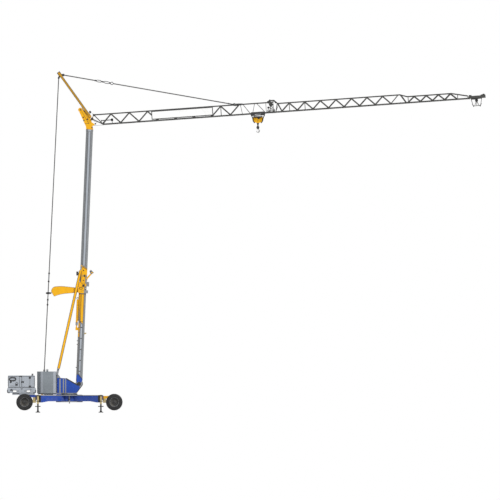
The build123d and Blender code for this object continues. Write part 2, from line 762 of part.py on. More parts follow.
def counterweight():
    """Two many-sided concrete blocks with a lifting lug each, apart to let the backstay's post through."""
    shoulder = WEIGHT_X0 + WEIGHT_SHOULDER
    front = WEIGHT_X1 - WEIGHT_FRONT
    plan = [
        (WEIGHT_X0, WEIGHT_GAP),
        (WEIGHT_X0, WEIGHT_TAIL_W),
        (shoulder, WEIGHT_SHOULDER_W),
        (shoulder + WEIGHT_BEND, WEIGHT_W),
        (front - WEIGHT_BEND, WEIGHT_W),
        (front, WEIGHT_SHOULDER_W),
        (WEIGHT_X1, WEIGHT_FRONT_W),
        (WEIGHT_X1, WEIGHT_GAP),
    ]
    shapes = []
    for s in (-1, 1):
        outline = make_face(Polyline(*[(x, s * y, RING_TOP) for x, y in plan], close=True))
        shapes.append(extrude(outline, amount=WEIGHT_Z1 - RING_TOP, dir=(0, 0, 1)))
        shapes.append(block((LUG_X - LUG_W / 2, LUG_X + LUG_W / 2), side(s, LUG_Y, LUG_Y + LUG_T),
                            (WEIGHT_Z1, WEIGHT_Z1 + LUG_H)))
    return joined(shapes)


# Mast


def mast_lower():
    """Eight-sided tube with a row of climbing slots, closed at the foot."""
    top = MAST_UP_S0 + MAST_LAP
    foot = MAST_FOOT_S + MAST_LOW_T
    tube = octagon(MAST_LOW_W, MAST_FOOT_S, top) - octagon(MAST_LOW_W - 2 * MAST_LOW_T, foot, top)
    slot = Box(SLOT_W, 2 * MAST_LOW_W, SLOT_H)
    return MAST_PLACE * (tube - [Pos(0, 0, SLOT_S0 + i * SLOT_PITCH) * slot for i in range(SLOT_COUNT)])


def mast_foot():
    outline = [(-130, 560), (-40, 575), (200, 295), (150, 40), (80, -130), (-80, -130), (-130, 60)]
    shapes = pair(outline, MAST_LOW_W / 2, LUG_Y0)
    foot = joined(shapes) - cross_pin(0, 0, PIVOT_R + RUN, -CHEEK_Y0, CHEEK_Y0)
    return MAST_PLACE * foot


def mast_upper():
    """Eight-sided tube that slides over the lower mast, with a band under the head."""
    tube = octagon(MAST_UP_W, MAST_UP_S0, MAST_TOP_S)
    bore = octagon(MAST_LOW_W, MAST_UP_S0, MAST_TOP_S - MAST_LOW_T)
    band = octagon(MAST_UP_W + 2 * BAND_OUT, MAST_TOP_S - BAND_H, MAST_TOP_S)
    return MAST_PLACE * (joined([tube, band]) - bore)


def mast_collar():
    """Stepped side plates of the mast joint with the struts' pins, and the arm of the jib rest."""
    half = MAST_UP_W / 2
    s1 = COLLAR_S0 + COLLAR_LOW
    s2 = s1 + COLLAR_MID
    s3 = s2 + COLLAR_TOP
    s4 = s3 + COLLAR_RISE
    outline = [
        (-half, COLLAR_S0),
        (LATCH_X0, COLLAR_S0),
        (LATCH_X0, s1 - COLLAR_LOW / 3),
        (half - COLLAR_T, s1 - COLLAR_LOW / 4),
        (half - COLLAR_T, s1),
        (COLLAR_WAIST, s1),
        (COLLAR_WAIST, s2 - COLLAR_MID / 3),
        (half, s2),
        (half, s3),
        (STRUT_TOP_X, s4),
        (STRUT_TOP_X - STRUT_EYE_R, STRUT_TOP_S),
        (-COLLAR_REAR, s2),
        (-COLLAR_REAR, s1),
        (-half, s1 - COLLAR_LOW / 4),
    ]
    shapes = pair(outline, half, half + COLLAR_T)
    band = [(half, s3 - COLLAR_BAND_W), (half, s3), (STRUT_TOP_X, s4), (STRUT_TOP_X, s4 - COLLAR_BAND_W)]
    shapes += pair(band, half + COLLAR_T, half + COLLAR_T + COLLAR_BAND_T)
    for s in (-1, 1):
        pin = side(s, half, STRUT_Y + STRUT_T / 2 + COLLAR_T)
        shapes.append(cross_pin(STRUT_TOP_X, STRUT_TOP_S, STRUT_PIN_R, *pin))
        y = s * (REST_Y + REST_ARM_T / 2)
        end = (half + REST_REACH, y, REST_S + REST_RISE)
        shapes.append(bar((half - COLLAR_T, y, REST_S), end, REST_ARM_T, REST_ARM_W))
    pad_y = REST_Y + REST_ARM_T
    pad = block((half, half + COLLAR_T), (-pad_y, pad_y), (REST_S - REST_ARM_W, REST_S + REST_ARM_W))
    room = octagon(MAST_UP_W, COLLAR_S0, s4)
    return MAST_PLACE * (joined(shapes + [pad]) - room)


def jib_rest():
    """Saddle for the folded jib on the collar's arm, with the box and the latch under it."""
    half = MAST_UP_W / 2
    x = half + REST_REACH
    s = REST_S + REST_RISE
    w = REST_ARM_W
    saddle = [(x - w, s + 2 * w), (x, s + 3 * w), (x + 2 * w, s + w), (x, s - w / 2)]
    shapes = [plate(saddle, -REST_Y, REST_Y)]
    box = (REST_BOX_S, REST_BOX_S + REST_BOX_H)
    shapes.append(block((half, half + REST_BOX_REACH), (-REST_Y, REST_Y), box))
    tip = half + LATCH_REACH
    height = (COLLAR_S0, COLLAR_S0 + LATCH_H)
    for k in (-1, 1):
        shapes.append(block((LATCH_X0, tip), side(k, half, half + COLLAR_T), height))
    shapes.append(block((tip - COLLAR_T, tip), (-half, half), height))
    return MAST_PLACE * joined(shapes)


def guide_skirt():
    """Shell round the sides and rear of the lower mast, cut off at a slant, over the climbing rack."""
    half = MAST_LOW_W / 2
    shell = octagon(MAST_LOW_W + 2 * SKIRT_T, SKIRT_S0, SKIRT_S1) - octagon(MAST_LOW_W, SKIRT_S0, SKIRT_S1)
    flat = half * tan(radians(22.5))
    reach = half + 2 * SKIRT_T
    shell -= block((SKIRT_X1, reach), (-reach, reach), (SKIRT_S0, SKIRT_S1))
    slant = [(SKIRT_X1, SKIRT_S0), (-flat, SKIRT_S0 + SKIRT_SLANT), (-half, SKIRT_REAR_S0)]
    rear = slant + [(-reach, SKIRT_REAR_S0), (-reach, SKIRT_S0)]
    shapes = [shell - plate(rear, -reach, reach)]
    out = (half + SKIRT_T / 2) * cos(radians(45))
    for s in (-1, 1):
        for i in range(RACK_COUNT):
            s0 = RACK_S0 + i * RACK_PITCH
            place = (-out, s * out)
            shapes.append(bar((*place, s0), (*place, s0 + RACK_L), RACK_W, SKIRT_T, (1, s, 0)))
    return MAST_PLACE * joined(shapes)


def climbing_cylinder():
    """Hydraulic cylinder behind the lower mast with its two lugs."""
    half = MAST_LOW_W / 2
    x = -half - CYLINDER_OUT
    lug = CYLINDER_R / 2
    shapes = [rod((x, 0, CYLINDER_S0), (x, 0, CYLINDER_S1), CYLINDER_R)]
    shapes.append(rod((x, 0, CYLINDER_LUG_S), (x, 0, CYLINDER_S0), CYLINDER_ROD_R))
    low = (CYLINDER_LUG_S, CYLINDER_LUG_S + CYLINDER_LUG_H)
    shapes.append(block((x - CYLINDER_R, -half), (-CYLINDER_R, CYLINDER_R), low))
    shapes.append(block((x, -half - SKIRT_T), (-lug, lug), (CYLINDER_S1 - CYLINDER_LUG_H, CYLINDER_S1)))
    return MAST_PLACE * joined(shapes)


def guide_arm():
    """Curved arm behind the mast that carries the guide for the backstay."""
    x = guide_x() + GUIDE_L / 2 + GUIDE_NECK
    root_low = mast_point(-MAST_UP_W / 2, GUIDE_ARM_S0)
    root_top = mast_point(-MAST_UP_W / 2, GUIDE_ARM_S1)
    outline = [
        (x, GUIDE_Z - GUIDE_NECK_H / 2),
        (x, GUIDE_Z + GUIDE_NECK_H / 2),
        (x + GUIDE_ARM_ROUND, GUIDE_Z + GUIDE_ARM_UP),
        root_top,
        root_low,
        (x + 3 * GUIDE_ARM_ROUND, GUIDE_Z - GUIDE_ARM_DOWN / 2),
        (x + GUIDE_ARM_ROUND / 2, GUIDE_Z - GUIDE_ARM_DOWN),
    ]
    arm = plate(outline, -GUIDE_ARM_T / 2, GUIDE_ARM_T / 2)
    bends = arm.edges().filter_by(Axis.Y).sort_by(Axis.X)[2:4]
    return fillet(bends, GUIDE_ARM_ROUND / 2)


def guide_x():
    """Where the backstay passes the height of its guide."""
    foot, top = stay_line()
    return foot[0] + (top[0] - foot[0]) * (GUIDE_Z - foot[1]) / (top[1] - foot[1])


def rope_guide():
    """Lens-shaped guide round both ties of the backstay, and its neck on the arm."""
    x = guide_x()
    reach = STAY_Y + STAY_R + 2 * GUIDE_GAP
    lens = extrude(Plane.XZ * Ellipse(GUIDE_L / 2, GUIDE_H / 2), amount=reach, both=True)
    z = (GUIDE_Z - GUIDE_NECK_H / 2, GUIDE_Z + GUIDE_NECK_H / 2)
    neck = block((x, x + GUIDE_L / 2 + GUIDE_NECK), (-STAY_Y / 2, STAY_Y / 2), z)
    foot, top = stay_line()
    holes = [rod((foot[0], y, foot[1]), (top[0], y, top[1]), STAY_R + GUIDE_GAP) for y in (-STAY_Y, STAY_Y)]
    return joined([Pos(x, 0, GUIDE_Z) * lens, neck]) - holes


def stay_line():
    """The two ends of the backstay in its own plane."""
    return (POST_X, BACKSTAY_FOOT_Z), (BACKSTAY_TOP_X, BACKSTAY_TOP_Z)


def stay(foot, top):
    """A pair of round tie bars with an eye at each end."""
    shapes = []
    for y in (-STAY_Y, STAY_Y):
        tie = rod((foot[0], y, foot[1]), (top[0], y, top[1]), STAY_R)
        eyes = [cross_pin(x, z, EYE_R, y - EYE_T / 2, y + EYE_T / 2) for x, z in (foot, top)]
        holes = [cross_pin(x, z, PIN_R + RUN, y - EYE_T, y + EYE_T) for x, z in (foot, top)]
        shapes.append(joined([tie] + eyes) - holes)
    return joined(shapes)


def backstay():
    return stay(*stay_line())


def jib_point(u, v):
    """A place on the jib's middle plane, in the crane's own X and Z."""
    a = radians(SLOPE)
    return JIB_X0 + u * cos(a) - v * sin(a), JIB_Z0 + u * sin(a) + v * cos(a)


def jib_stay():
    return stay(jib_point(STAY_U, DEPTH1), (JIBSTAY_TOP_X, JIBSTAY_TOP_Z))


def strut_point(from_foot):
    """A place on the struts' line, at a distance from the foot pin, as the crane's X and Z."""
    top = mast_point(STRUT_TOP_X, STRUT_TOP_S)
    length = hypot(top[0] - STRUT_FOOT_X, top[1] - STRUT_FOOT_Z)
    share = from_foot / length if from_foot >= 0 else 1 + from_foot / length
    return STRUT_FOOT_X + share * (top[0] - STRUT_FOOT_X), STRUT_FOOT_Z + share * (top[1] - STRUT_FOOT_Z)


def erecting_struts():
    """Two square tubes that hold the mast up."""
    low = strut_point(CLEVIS_L)
    top = strut_point(-CLEVIS_TOP_L)
    shapes = []
    for y in (-STRUT_Y, STRUT_Y):
        shapes.append(bar((low[0], y, low[1]), (top[0], y, top[1]), STRUT_T, STRUT_W))
    return joined(shapes)


def strut_clevises():
    """Ends of the struts: a foot that stands on each cheek and an eye on each pin of the collar."""
    foot = (STRUT_FOOT_X, STRUT_FOOT_Z)
    low = strut_point(CLEVIS_L)
    neck = strut_point(-CLEVIS_TOP_L)
    top = mast_point(STRUT_TOP_X, STRUT_TOP_S)
    z = foot[1] + CLEVIS_W / 2
    sole = [(CHEEK_X0, CHEEK_Z1), (RIBS[0][0] + RIBS[0][1], CHEEK_Z1)]
    stand = sole + [(foot[0] + CLEVIS_W, z), (foot[0] - CLEVIS_W / 2, z)]
    shapes = pair(stand, CHEEK_Y0, CHEEK_Y0 + CHEEK_T)
    for y in (-STRUT_Y, STRUT_Y):
        shapes.append(bar((foot[0], y, foot[1]), (low[0], y, low[1]), CLEVIS_T, CLEVIS_W))
        tongue = bar((neck[0], y, neck[1]), (top[0], y, top[1]), CLEVIS_T, CLEVIS_W)
        limits = (y - CLEVIS_T / 2, y + CLEVIS_T / 2)
        eye = cross_pin(*top, STRUT_EYE_R, *limits)
        shapes.append(joined([tongue, eye]) - cross_pin(*top, STRUT_PIN_R + RUN, *limits))
    return joined(shapes)


# Head, apex


def mast_head():
    """Cranked head of two side plates, closed front and rear, with the pins of jib and apex strut."""
    outline = [
        (-221, HEAD_FOOT_T), (-246, 239), (-640, 1113), (-505, 1315), (105, 590), (124, 465),
        (43, 352), (43, 239), (187, 207), (206, 94), (168, HEAD_FOOT_T),
    ]
    half = HEAD_W / 2
    inside = half - HEAD_T
    nose = (-HEAD_NOSE_BACK, HEAD_NOSE_UP)
    shapes = pair(outline, inside, half)
    for p, q in ((outline[1], outline[2]), (outline[3], outline[4])):
        shapes.append(bar((p[0], 0, p[1]), (q[0], 0, q[1]), HEAD_W, HEAD_T))
    shapes.append(cross_pin(*nose, HEAD_NOSE_R, -half, half))
    out = half + HEAD_BOSS_OUT
    shapes += [cross_pin(x, z, HEAD_BOSS_R, -out, out) for x, z in HEAD_BOSSES]
    strap = [(-653, 1292), (-547, 1368), (113, 438), (7, 362)]
    shapes += pair(strap, half, half + HEAD_STRAP_T)
    roller = [(ROLLER_AHEAD + PIN_R, ROLLER_UP - PIN_R), (ROLLER_AHEAD, ROLLER_UP + 2 * PIN_R)]
    lug = outline[7:9] + roller + outline[5:7]
    shapes += pair(lug, inside, half)
    shapes.append(cross_pin(ROLLER_AHEAD, ROLLER_UP, head_roller_r(), -inside, inside))
    reach = half + APEX_LEG_T + JIB_PIN_R
    for x, z in ((JIB_PIVOT_AHEAD, JIB_PIVOT_UP), (APEX_FOOT_AHEAD, APEX_FOOT_UP)):
        shapes.append(cross_pin(x, z, PIVOT_BOSS_R, -half, half))
        shapes.append(cross_pin(x, z, JIB_PIN_R, -reach, reach))
    head = Pos(HEAD_X, 0, HEAD_Z) * joined(shapes)
    foot = MAST_PLACE * octagon(MAST_UP_W, MAST_TOP_S, MAST_TOP_S + 2 * HEAD_FOOT_T)
    return joined([head, foot])


def jib_frame(x, z):
    """A place given in the crane's X and Z, as u along the jib and v square to it."""
    a = radians(SLOPE)
    dx = x - JIB_X0
    dz = z - JIB_Z0
    return dx * cos(a) + dz * sin(a), dz * cos(a) - dx * sin(a)


def head_roller():
    """The middle of the hoist rope's roller in the jib's frame."""
    return jib_frame(HEAD_X + ROLLER_AHEAD, HEAD_Z + ROLLER_UP)


def head_roller_r():
    """The roller is as large as the rope that passes under it leaves room for."""
    return head_roller()[1] - ROPE_V - FALL_R - RUN


def apex_strut():
    """Two legs joined by cross tubes, from the mast's head up to the apex."""
    y = (HEAD_W + APEX_LEG_T) / 2
    half = APEX_LEG_T / 2
    shapes = []
    for s in (-y, y):
        leg = bar((APEX_FOOT_X, s, APEX_FOOT_Z), (APEX_X, s, APEX_Z), APEX_LEG_T, APEX_LEG_W)
        eye = cross_pin(APEX_FOOT_X, APEX_FOOT_Z, APEX_LEG_W / 2, s - half, s + half)
        hole = cross_pin(APEX_FOOT_X, APEX_FOOT_Z, JIB_PIN_R + RUN, s - half, s + half)
        shapes.append(joined([leg, eye]) - hole)
    for i in range(1, APEX_TUBES + 1):
        share = i / (APEX_TUBES + 1)
        x = APEX_FOOT_X - share * APEX_BACK
        z = APEX_FOOT_Z + share * APEX_RISE
        shapes.append(cross_pin(x, z, APEX_TUBE_R, -y, y))
    return joined(shapes)


def apex_head():
    half = HEAD_W / 2
    x = (APEX_X - APEX_BLOCK_BACK, APEX_BLOCK_X1)
    shapes = [block(x, (-half, half), (APEX_BLOCK_Z0, APEX_Z + APEX_BLOCK_UP))]
    lug = (-EYE_T / 2, EYE_T / 2)
    back = (BACKSTAY_TOP_X - LUG_EDGE, BACKSTAY_TOP_X + LUG_EDGE)
    shapes.append(block(back, lug, (BACKSTAY_TOP_Z - LUG_EDGE, APEX_BLOCK_Z0)))
    front = (JIBSTAY_TOP_Z - LUG_EDGE, JIBSTAY_TOP_Z + LUG_EDGE)
    shapes.append(block((APEX_BLOCK_X1, JIBSTAY_TOP_X + LUG_EDGE), lug, front))
    reach = STAY_Y + EYE_T
    shapes.append(cross_pin(BACKSTAY_TOP_X, BACKSTAY_TOP_Z, PIN_R, -reach, reach))
    shapes.append(cross_pin(JIBSTAY_TOP_X, JIBSTAY_TOP_Z, PIN_R, -reach, reach))
    return joined(shapes)


# Jib


def side_normal(depth, s):
    """The outward direction of one sloping side of the jib."""
    length = hypot(depth, GAUGE)
    return (0, s * depth / length, GAUGE / length)


def chords(u0, u1, t0, t1, depth):
    """Upper chord from t0 to t1 and both lower chords from u0 to u1, with the trolley's rails."""
    shapes = [bar((t0, 0, depth), (t1, 0, depth), CHORD, CHORD)]
    half = CHORD / 2
    for s in (-1, 1):
        shapes.append(bar((u0, s * GAUGE, 0), (u1, s * GAUGE, 0), CHORD, CHORD))
        y = side(s, GAUGE + half, GAUGE + half + FLANGE_W)
        shapes.append(block((u0, u1), y, (-half, -half + FLANGE_T)))
    return shapes


def hollows(u0, u1, t0, t1, depth):
    """The insides of the three chords."""
    inside = CHORD - 2 * CHORD_WALL
    shapes = [bar((t0, 0, depth), (t1, 0, depth), inside, inside)]
    return shapes + [bar((u0, s * GAUGE, 0), (u1, s * GAUGE, 0), inside, inside) for s in (-1, 1)]


def braces(pairs, depth, width=BRACE):
    """Side braces on both slopes, each from a place on the lower chord to one on the upper."""
    shapes = []
    for low, top in pairs:
        for s in (-1, 1):
            shapes.append(bar((low, s * GAUGE, 0), (top, 0, depth), width, width, side_normal(depth, s)))
    return shapes


def ties(places):
    """Cross bars between the lower chords."""
    return [bar((u, -GAUGE, 0), (u, GAUGE, 0), BRACE, BRACE, (0, 0, 1)) for u in places]


def jib_root_section():
    """First section: zigzag braces, lightly braced outer end, and the eyes on the head's pin at its root."""
    low = [CHORD / 2] + [i * PITCH1 for i in range(1, PANELS1)]
    top = [(i + 0.5) * PITCH1 for i in range(PANELS1)]
    root = ROOT_U + CHORD / 2
    pairs = [(low[0], root)]
    for i in range(PANELS1):
        pairs.append((low[i], top[i]))
        if i + 1 < PANELS1:
            pairs.append((low[i + 1], top[i]))
    node = PITCH1 * PANELS1
    end = SEC1_U1 - CHORD / 2
    thin = [(node + foot, node + head) for foot, head in THIN_BARS] + [(end, end)]
    posts = [foot for foot, head in thin[::2]]
    shapes = chords(0, SEC1_U1, ROOT_U, SEC1_U1, DEPTH1) + braces(pairs, DEPTH1) + ties(low + posts)
    shapes += braces(thin, DEPTH1, THIN_BRACE)
    u, v = jib_frame(JIB_PIVOT_X, JIB_PIVOT_Z)
    y0 = HEAD_W / 2 + RUN
    y1 = HEAD_W / 2 + APEX_LEG_T + JIB_PIN_R / 2
    mid = (y0 + y1) / 2
    holes = []
    for s in (-1, 1):
        shapes.append(cross_pin(u, v, 2 * JIB_PIN_R, *side(s, y0, y1)))
        shapes.append(bar((u, s * mid, v), (low[0], s * GAUGE, 0), BRACE, BRACE, side_normal(DEPTH1, s)))
        shapes.append(bar((u, s * mid, v), (root, s * mid, DEPTH1), BRACE, BRACE))
        holes.append(cross_pin(u, v, JIB_PIN_R + RUN, *side(s, y0 - RUN, y1 + RUN)))
    y = mid + BRACE / 2
    shapes.append(bar((root, -y, DEPTH1), (root, y, DEPTH1), CHORD, CHORD, (0, 0, 1)))
    shapes.append(cross_pin(STAY_U, DEPTH1, PIN_R, -STAY_Y - EYE_T, STAY_Y + EYE_T))
    body = joined(shapes) - holes
    return JIB_PLACE * (body - hollows(0, SEC1_U1, ROOT_U, STAY_U - 2 * CHORD, DEPTH1))


def jib_middle_section():
    low = [SEC2_U0 + SEC2_NODE + i * PITCH2 for i in range(PANELS2)]
    top = [u + PITCH2 / 2 for u in low]
    pairs = []
    for i in range(PANELS2):
        pairs.append((low[i], top[i]))
        if i + 1 < PANELS2:
            pairs.append((low[i + 1], top[i]))
    pairs += [(top[0], top[0]), (top[1], top[1])]
    shapes = chords(SEC2_U0, SEC2_U1, SEC2_U0, SEC2_U1, DEPTH2) + braces(pairs, DEPTH2)
    shapes += ties(low + [SEC2_U1 - CHORD / 2])
    return JIB_PLACE * (joined(shapes) - hollows(SEC2_U0, SEC2_U1, SEC2_U0, SEC2_U1, DEPTH2))


def jib_outer_section():
    """Last section: its upper chord slopes down to the tip, with a thick brace and a post about the bend."""
    low = [SEC3_U0 + SEC3_NODE + i * PITCH3 for i in range(PANELS3 + 1)]
    top = [u + PITCH3 / 2 for u in low[:-1]]
    pairs = [(low[0], low[0])]
    for i in range(PANELS3):
        pairs += [(low[i], top[i]), (low[i + 1], top[i])]
    bend = top[-1] + BEND_U
    post = low[-1] + TIP_POST_U
    tip = SEC3_U1 - CHORD / 2
    shapes = chords(SEC3_U0, SEC3_U1, SEC3_U0, bend, DEPTH3) + braces(pairs, DEPTH3)
    shapes += braces([(low[-2], top[-1])], DEPTH3, THICK_BRACE)
    post_v = DEPTH3 + (TIP_V - DEPTH3) * (post - bend) / (tip - bend)
    shapes += braces([(post, post)], post_v)
    shapes += ties(low + [tip])
    shapes.append(bar((bend - CHORD / 2, 0, DEPTH3), (tip, 0, TIP_V), CHORD, CHORD))
    for s in (-1, 1):
        shapes.append(bar((tip, s * GAUGE, 0), (tip, 0, TIP_V), BRACE, BRACE, (1, 0, 0)))
    return JIB_PLACE * (joined(shapes) - hollows(SEC3_U0, SEC3_U1, SEC3_U0, bend - CHORD, DEPTH3))


def jib_joints():
    """Fold joints between the jib's sections: lower chords and rails carried on, hinges and links above."""
    half = CHORD / 2
    shapes = []
    for u0, u1 in ((SEC1_U1, SEC2_U0), (SEC2_U1, SEC3_U0)):
        for s in (-1, 1):
            shapes.append(bar((u0, s * GAUGE, 0), (u1, s * GAUGE, 0), CHORD, CHORD))
            rail = side(s, GAUGE + half, GAUGE + half + FLANGE_W)
            shapes.append(block((u0, u1), rail, (-half, -half + FLANGE_T)))
    frames = [SEC1_U1 + FRAME_U, SEC1_U1 + FRAME_U + FRAME_PITCH]
    shapes += braces([(u, u) for u in frames], DEPTH1)
    shapes += braces([(SEC2_U0 - FRAME_PITCH, SEC2_U0 - half)], DEPTH2)
    shapes += ties(frames)
    shapes.append(bar((SEC1_U1, 0, DEPTH1), (frames[1] + half, 0, DEPTH1), CHORD, CHORD))
    shapes.append(cross_pin(frames[0], DEPTH1 - FOLD_R, FOLD_R, -half, half))
    for s in (-1, 1):
        y = side(s, GAUGE - half, GAUGE + half)
        hinges = (frames[0] - 2 * FOLD_LOW_R, frames[1])
        shapes += [cross_pin(u, half + FOLD_LOW_R / 2, FOLD_LOW_R, *y) for u in hinges]
    peak = DEPTH1 + FOLD_UP
    lug = [(SEC1_U1, DEPTH1), (frames[0], DEPTH1), (frames[0], peak + half), (frames[0] - half, peak + half)]
    shapes.append(plate(lug, -half, half))
    link = [
        (frames[0] - half / 2, peak - LINK_T),
        (frames[1] + half, peak - LINK_T),
        (SEC2_U0, DEPTH2 - half),
        (SEC2_U0, DEPTH2 + half),
        (frames[1] + 2 * half, peak),
        (frames[0] - half / 2, peak),
    ]
    shapes.append(plate(link, -half, half))
    under = [(SEC2_U1, DEPTH2 - half), (SEC3_U0, DEPTH3 - half)]
    over = [(SEC3_U0, DEPTH3 + half), (SEC2_U1, DEPTH2 + half)]
    shapes.append(plate(under + over, -half, half))
    low = SEC3_U0 - THICK_BRACE
    shapes += braces([(low, SEC2_U1 + half)], DEPTH2, THICK_BRACE)
    shapes += ties([low])
    return JIB_PLACE * joined(shapes)


def sign_board():
    """Bare boards on both slopes of the root section."""
    shapes = []
    slant = hypot(DEPTH1, GAUGE)
    out = (BRACE + BOARD_T) / 2
    for s in (-1, 1):
        n = side_normal(DEPTH1, s)
        centre = ((BOARD_U0 + BOARD_U1) / 2, s * GAUGE / 2 + n[1] * out, DEPTH1 / 2 + n[2] * out)
        face = Plane(origin=centre, x_dir=(1, 0, 0), z_dir=n)
        shapes.append(face * Box(BOARD_U1 - BOARD_U0, slant - 2 * CHORD, BOARD_T))
    return JIB_PLACE * joined(shapes)


def tip_plan(inset):
    """Half of the nose's plan, drawn in by a wall; its root stays open."""
    y = GAUGE + CHORD / 2 - inset
    return [(SEC3_U1, y), (SEC3_U1 + TIP_FLAT, y), (TIP_U1 - inset, TIP_NOSE_W - inset)]


def jib_tip():
    """Hollow nose of the jib, with an open cage round the return sheave of the trolley rope."""
    half = CHORD / 2
    shapes = []
    for inset in (0, TIP_WALL):
        right = tip_plan(inset)
        plan = right + [(u, -y) for u, y in reversed(right)]
        outline = make_face(Polyline(*[(u, y, inset - half) for u, y in plan], close=True))
        shapes.append(extrude(outline, amount=TIP_H - 2 * inset, dir=(0, 0, 1)))
    nose = shapes[0] - shapes[1]
    u0 = SEC3_U1 + CAGE_U
    u1 = u0 + CAGE_L
    low = -half - CAGE_DEPTH
    rim = [(u0, -half), (u1, -half), (u1 - CAGE_SLANT, low), (u0 + CAGE_SLANT, low)]
    bowl = make_face(Polyline(*[(u, 0, v) for u, v in rim], close=True))
    bowl = fillet(bowl.vertices().sort_by(Axis.Z)[:2], CAGE_SLANT)
    ring_face = bowl - offset(bowl, -CAGE_RIM)
    mid = (u0 + u1) / 2
    axle = -half - CAGE_AXLE
    bottom = low + CAGE_RIM / 2
    shapes = [nose]
    for s in (-1, 1):
        y = side(s, CAGE_Y, CAGE_Y + CAGE_T)
        shapes.append(Pos(0, y[0], 0) * extrude(ring_face, amount=CAGE_T, dir=(0, 1, 0)))
        feet = [(u, bottom) for u in (u0 + 2 * CAGE_SLANT, mid, u1 - 2 * CAGE_SLANT)]
        for u, v in [(mid, -half)] + feet:
            shapes.append(bar((mid, sum(y) / 2, axle), (u, sum(y) / 2, v), CAGE_T, CAGE_RIM))
    shapes.append(cross_pin(mid, axle, CAGE_RIM, -CAGE_Y - CAGE_T, CAGE_Y + CAGE_T))
    shapes.append(cross_pin(mid, axle, RETURN_R, -CAGE_RIM, CAGE_RIM))
    end = SEC3_U1 + CHORD
    shapes.append(block((end - half, end), (-half / 2, half / 2), (ROPE_V - half / 2, -half)))
    return JIB_PLACE * joined(shapes)


def hoist_line():
    """The hoist rope under the jib, from the head's roller to its anchor at the tip."""
    return JIB_PLACE * rod((head_roller()[0], 0, ROPE_V), (SEC3_U1 + CHORD / 2, 0, ROPE_V), FALL_R)


def trolley_winch():
    """Drum and motor of the trolley rope, inside the root of the jib, on its first cross bar."""
    u1 = WINCH_U0 + WINCH_L
    shapes = [rod((WINCH_U0, 0, WINCH_V), (u1, 0, WINCH_V), WINCH_R)]
    shapes.append(rod((u1 - WINCH_MOTOR_L, 0, WINCH_V), (u1, 0, WINCH_V), WINCH_MOTOR_R))
    post_u = ((CHORD - BRACE) / 2, (CHORD + BRACE) / 2)
    shapes.append(block(post_u, (-CHORD, CHORD), (BRACE / 2, WINCH_V)))
    return JIB_PLACE * joined(shapes)


# Trolley, hook block and hook


def jib_u(x, v):
    """The place along the jib of what lies at the crane's own x, at height v in the jib's frame."""
    a = radians(SLOPE)
    return (x - JIB_X0 + v * sin(a)) / cos(a)


def roller_axle():
    """Height of the trolley's wheel axles in the jib's frame, and the inner face of its side plates."""
    half = CHORD / 2
    return FLANGE_T - half + RUN + ROLLER_R, GAUGE + half + FLANGE_W + CLEAR


def trolley_frame():
    """Side plates outside the rails, low cross bars, sheave beams and the funnel over the hook block."""
    axle_v, y0 = roller_axle()
    y1 = y0 + SIDE_T
    low = CROSS_V - CROSS_H
    shapes = []
    for end in (-1, 1):
        u = TROLLEY_U + end * TROLLEY_L / 2
        u_in = u - end * CROSS_W
        ends = sorted((u, u_in))
        shapes.append(block(ends, (-y1, y1), (low, CROSS_V)))
        shapes += [block(ends, side(s, y0, y1), (low, SIDE_V0)) for s in (-1, 1)]
        for s in (-1, 1):
            pin = side(s, y0 - ROLLER_W - CLEAR / 2, y0)
            shapes.append(cross_pin(TROLLEY_U + end * ROLLER_U, axle_v, ROLLER_PIN_R, *pin))
    along = (TROLLEY_U - TROLLEY_L / 2, TROLLEY_U + TROLLEY_L / 2)
    beam_v = (TOP_SHEAVE_V - 2 * TOP_PIN_R, CROSS_V)
    for s in (-1, 1):
        shapes.append(block(along, side(s, y0, y1), (SIDE_V0, axle_v + SIDE_UP)))
        shapes.append(block(along, side(s, BEAM_Y, BEAM_Y + BEAM_T), beam_v))
    reach = BEAM_Y + BEAM_T
    shapes += [cross_pin(u, TOP_SHEAVE_V, TOP_PIN_R, -reach, reach) for u in top_sheaves()]
    frame = JIB_PLACE * joined(shapes)
    y = BEAM_Y + BEAM_T / 2
    funnel = []
    for end in (-1, 1):
        x, z = jib_point(TROLLEY_U + end * (TROLLEY_L - CROSS_W) / 2, low)
        foot = (TROLLEY_X + end * FUNNEL_X, BLOCK_Z0 + FUNNEL_UP)
        funnel += [bar((x, s * y, z), (foot[0], s * y, foot[1]), BEAM_T, FUNNEL_W) for s in (-1, 1)]
    return joined([frame] + funnel)


def fall_x():
    """How far each rope fall hangs from the middle of the trolley."""
    return SHEAVE_X + SHEAVE_R + FALL_R + RUN


def top_sheaves():
    """Where the trolley's two sheaves sit along the jib, so that the falls hang plumb beside them."""
    inward = fall_x() - FALL_R - RUN - TOP_SHEAVE_R
    return [jib_u(TROLLEY_X + s * inward, TOP_SHEAVE_V) for s in (-1, 1)]


def trolley_sheaves():
    y = SHEAVE_T / 2
    shapes = []
    for u in top_sheaves():
        wheel = cross_pin(u, TOP_SHEAVE_V, TOP_SHEAVE_R, -y, y)
        shapes.append(wheel - cross_pin(u, TOP_SHEAVE_V, TOP_PIN_R + RUN, -y, y))
    return JIB_PLACE * joined(shapes)


def trolley_wheels():
    axle_v, y0 = roller_axle()
    shapes = []
    for s in (-1, 1):
        y = side(s, y0 - CLEAR / 2 - ROLLER_W, y0 - CLEAR / 2)
        for u in (TROLLEY_U - ROLLER_U, TROLLEY_U + ROLLER_U):
            shapes.append(cross_pin(u, axle_v, ROLLER_R, *y) - cross_pin(u, axle_v, ROLLER_PIN_R + RUN, *y))
    return JIB_PLACE * joined(shapes)


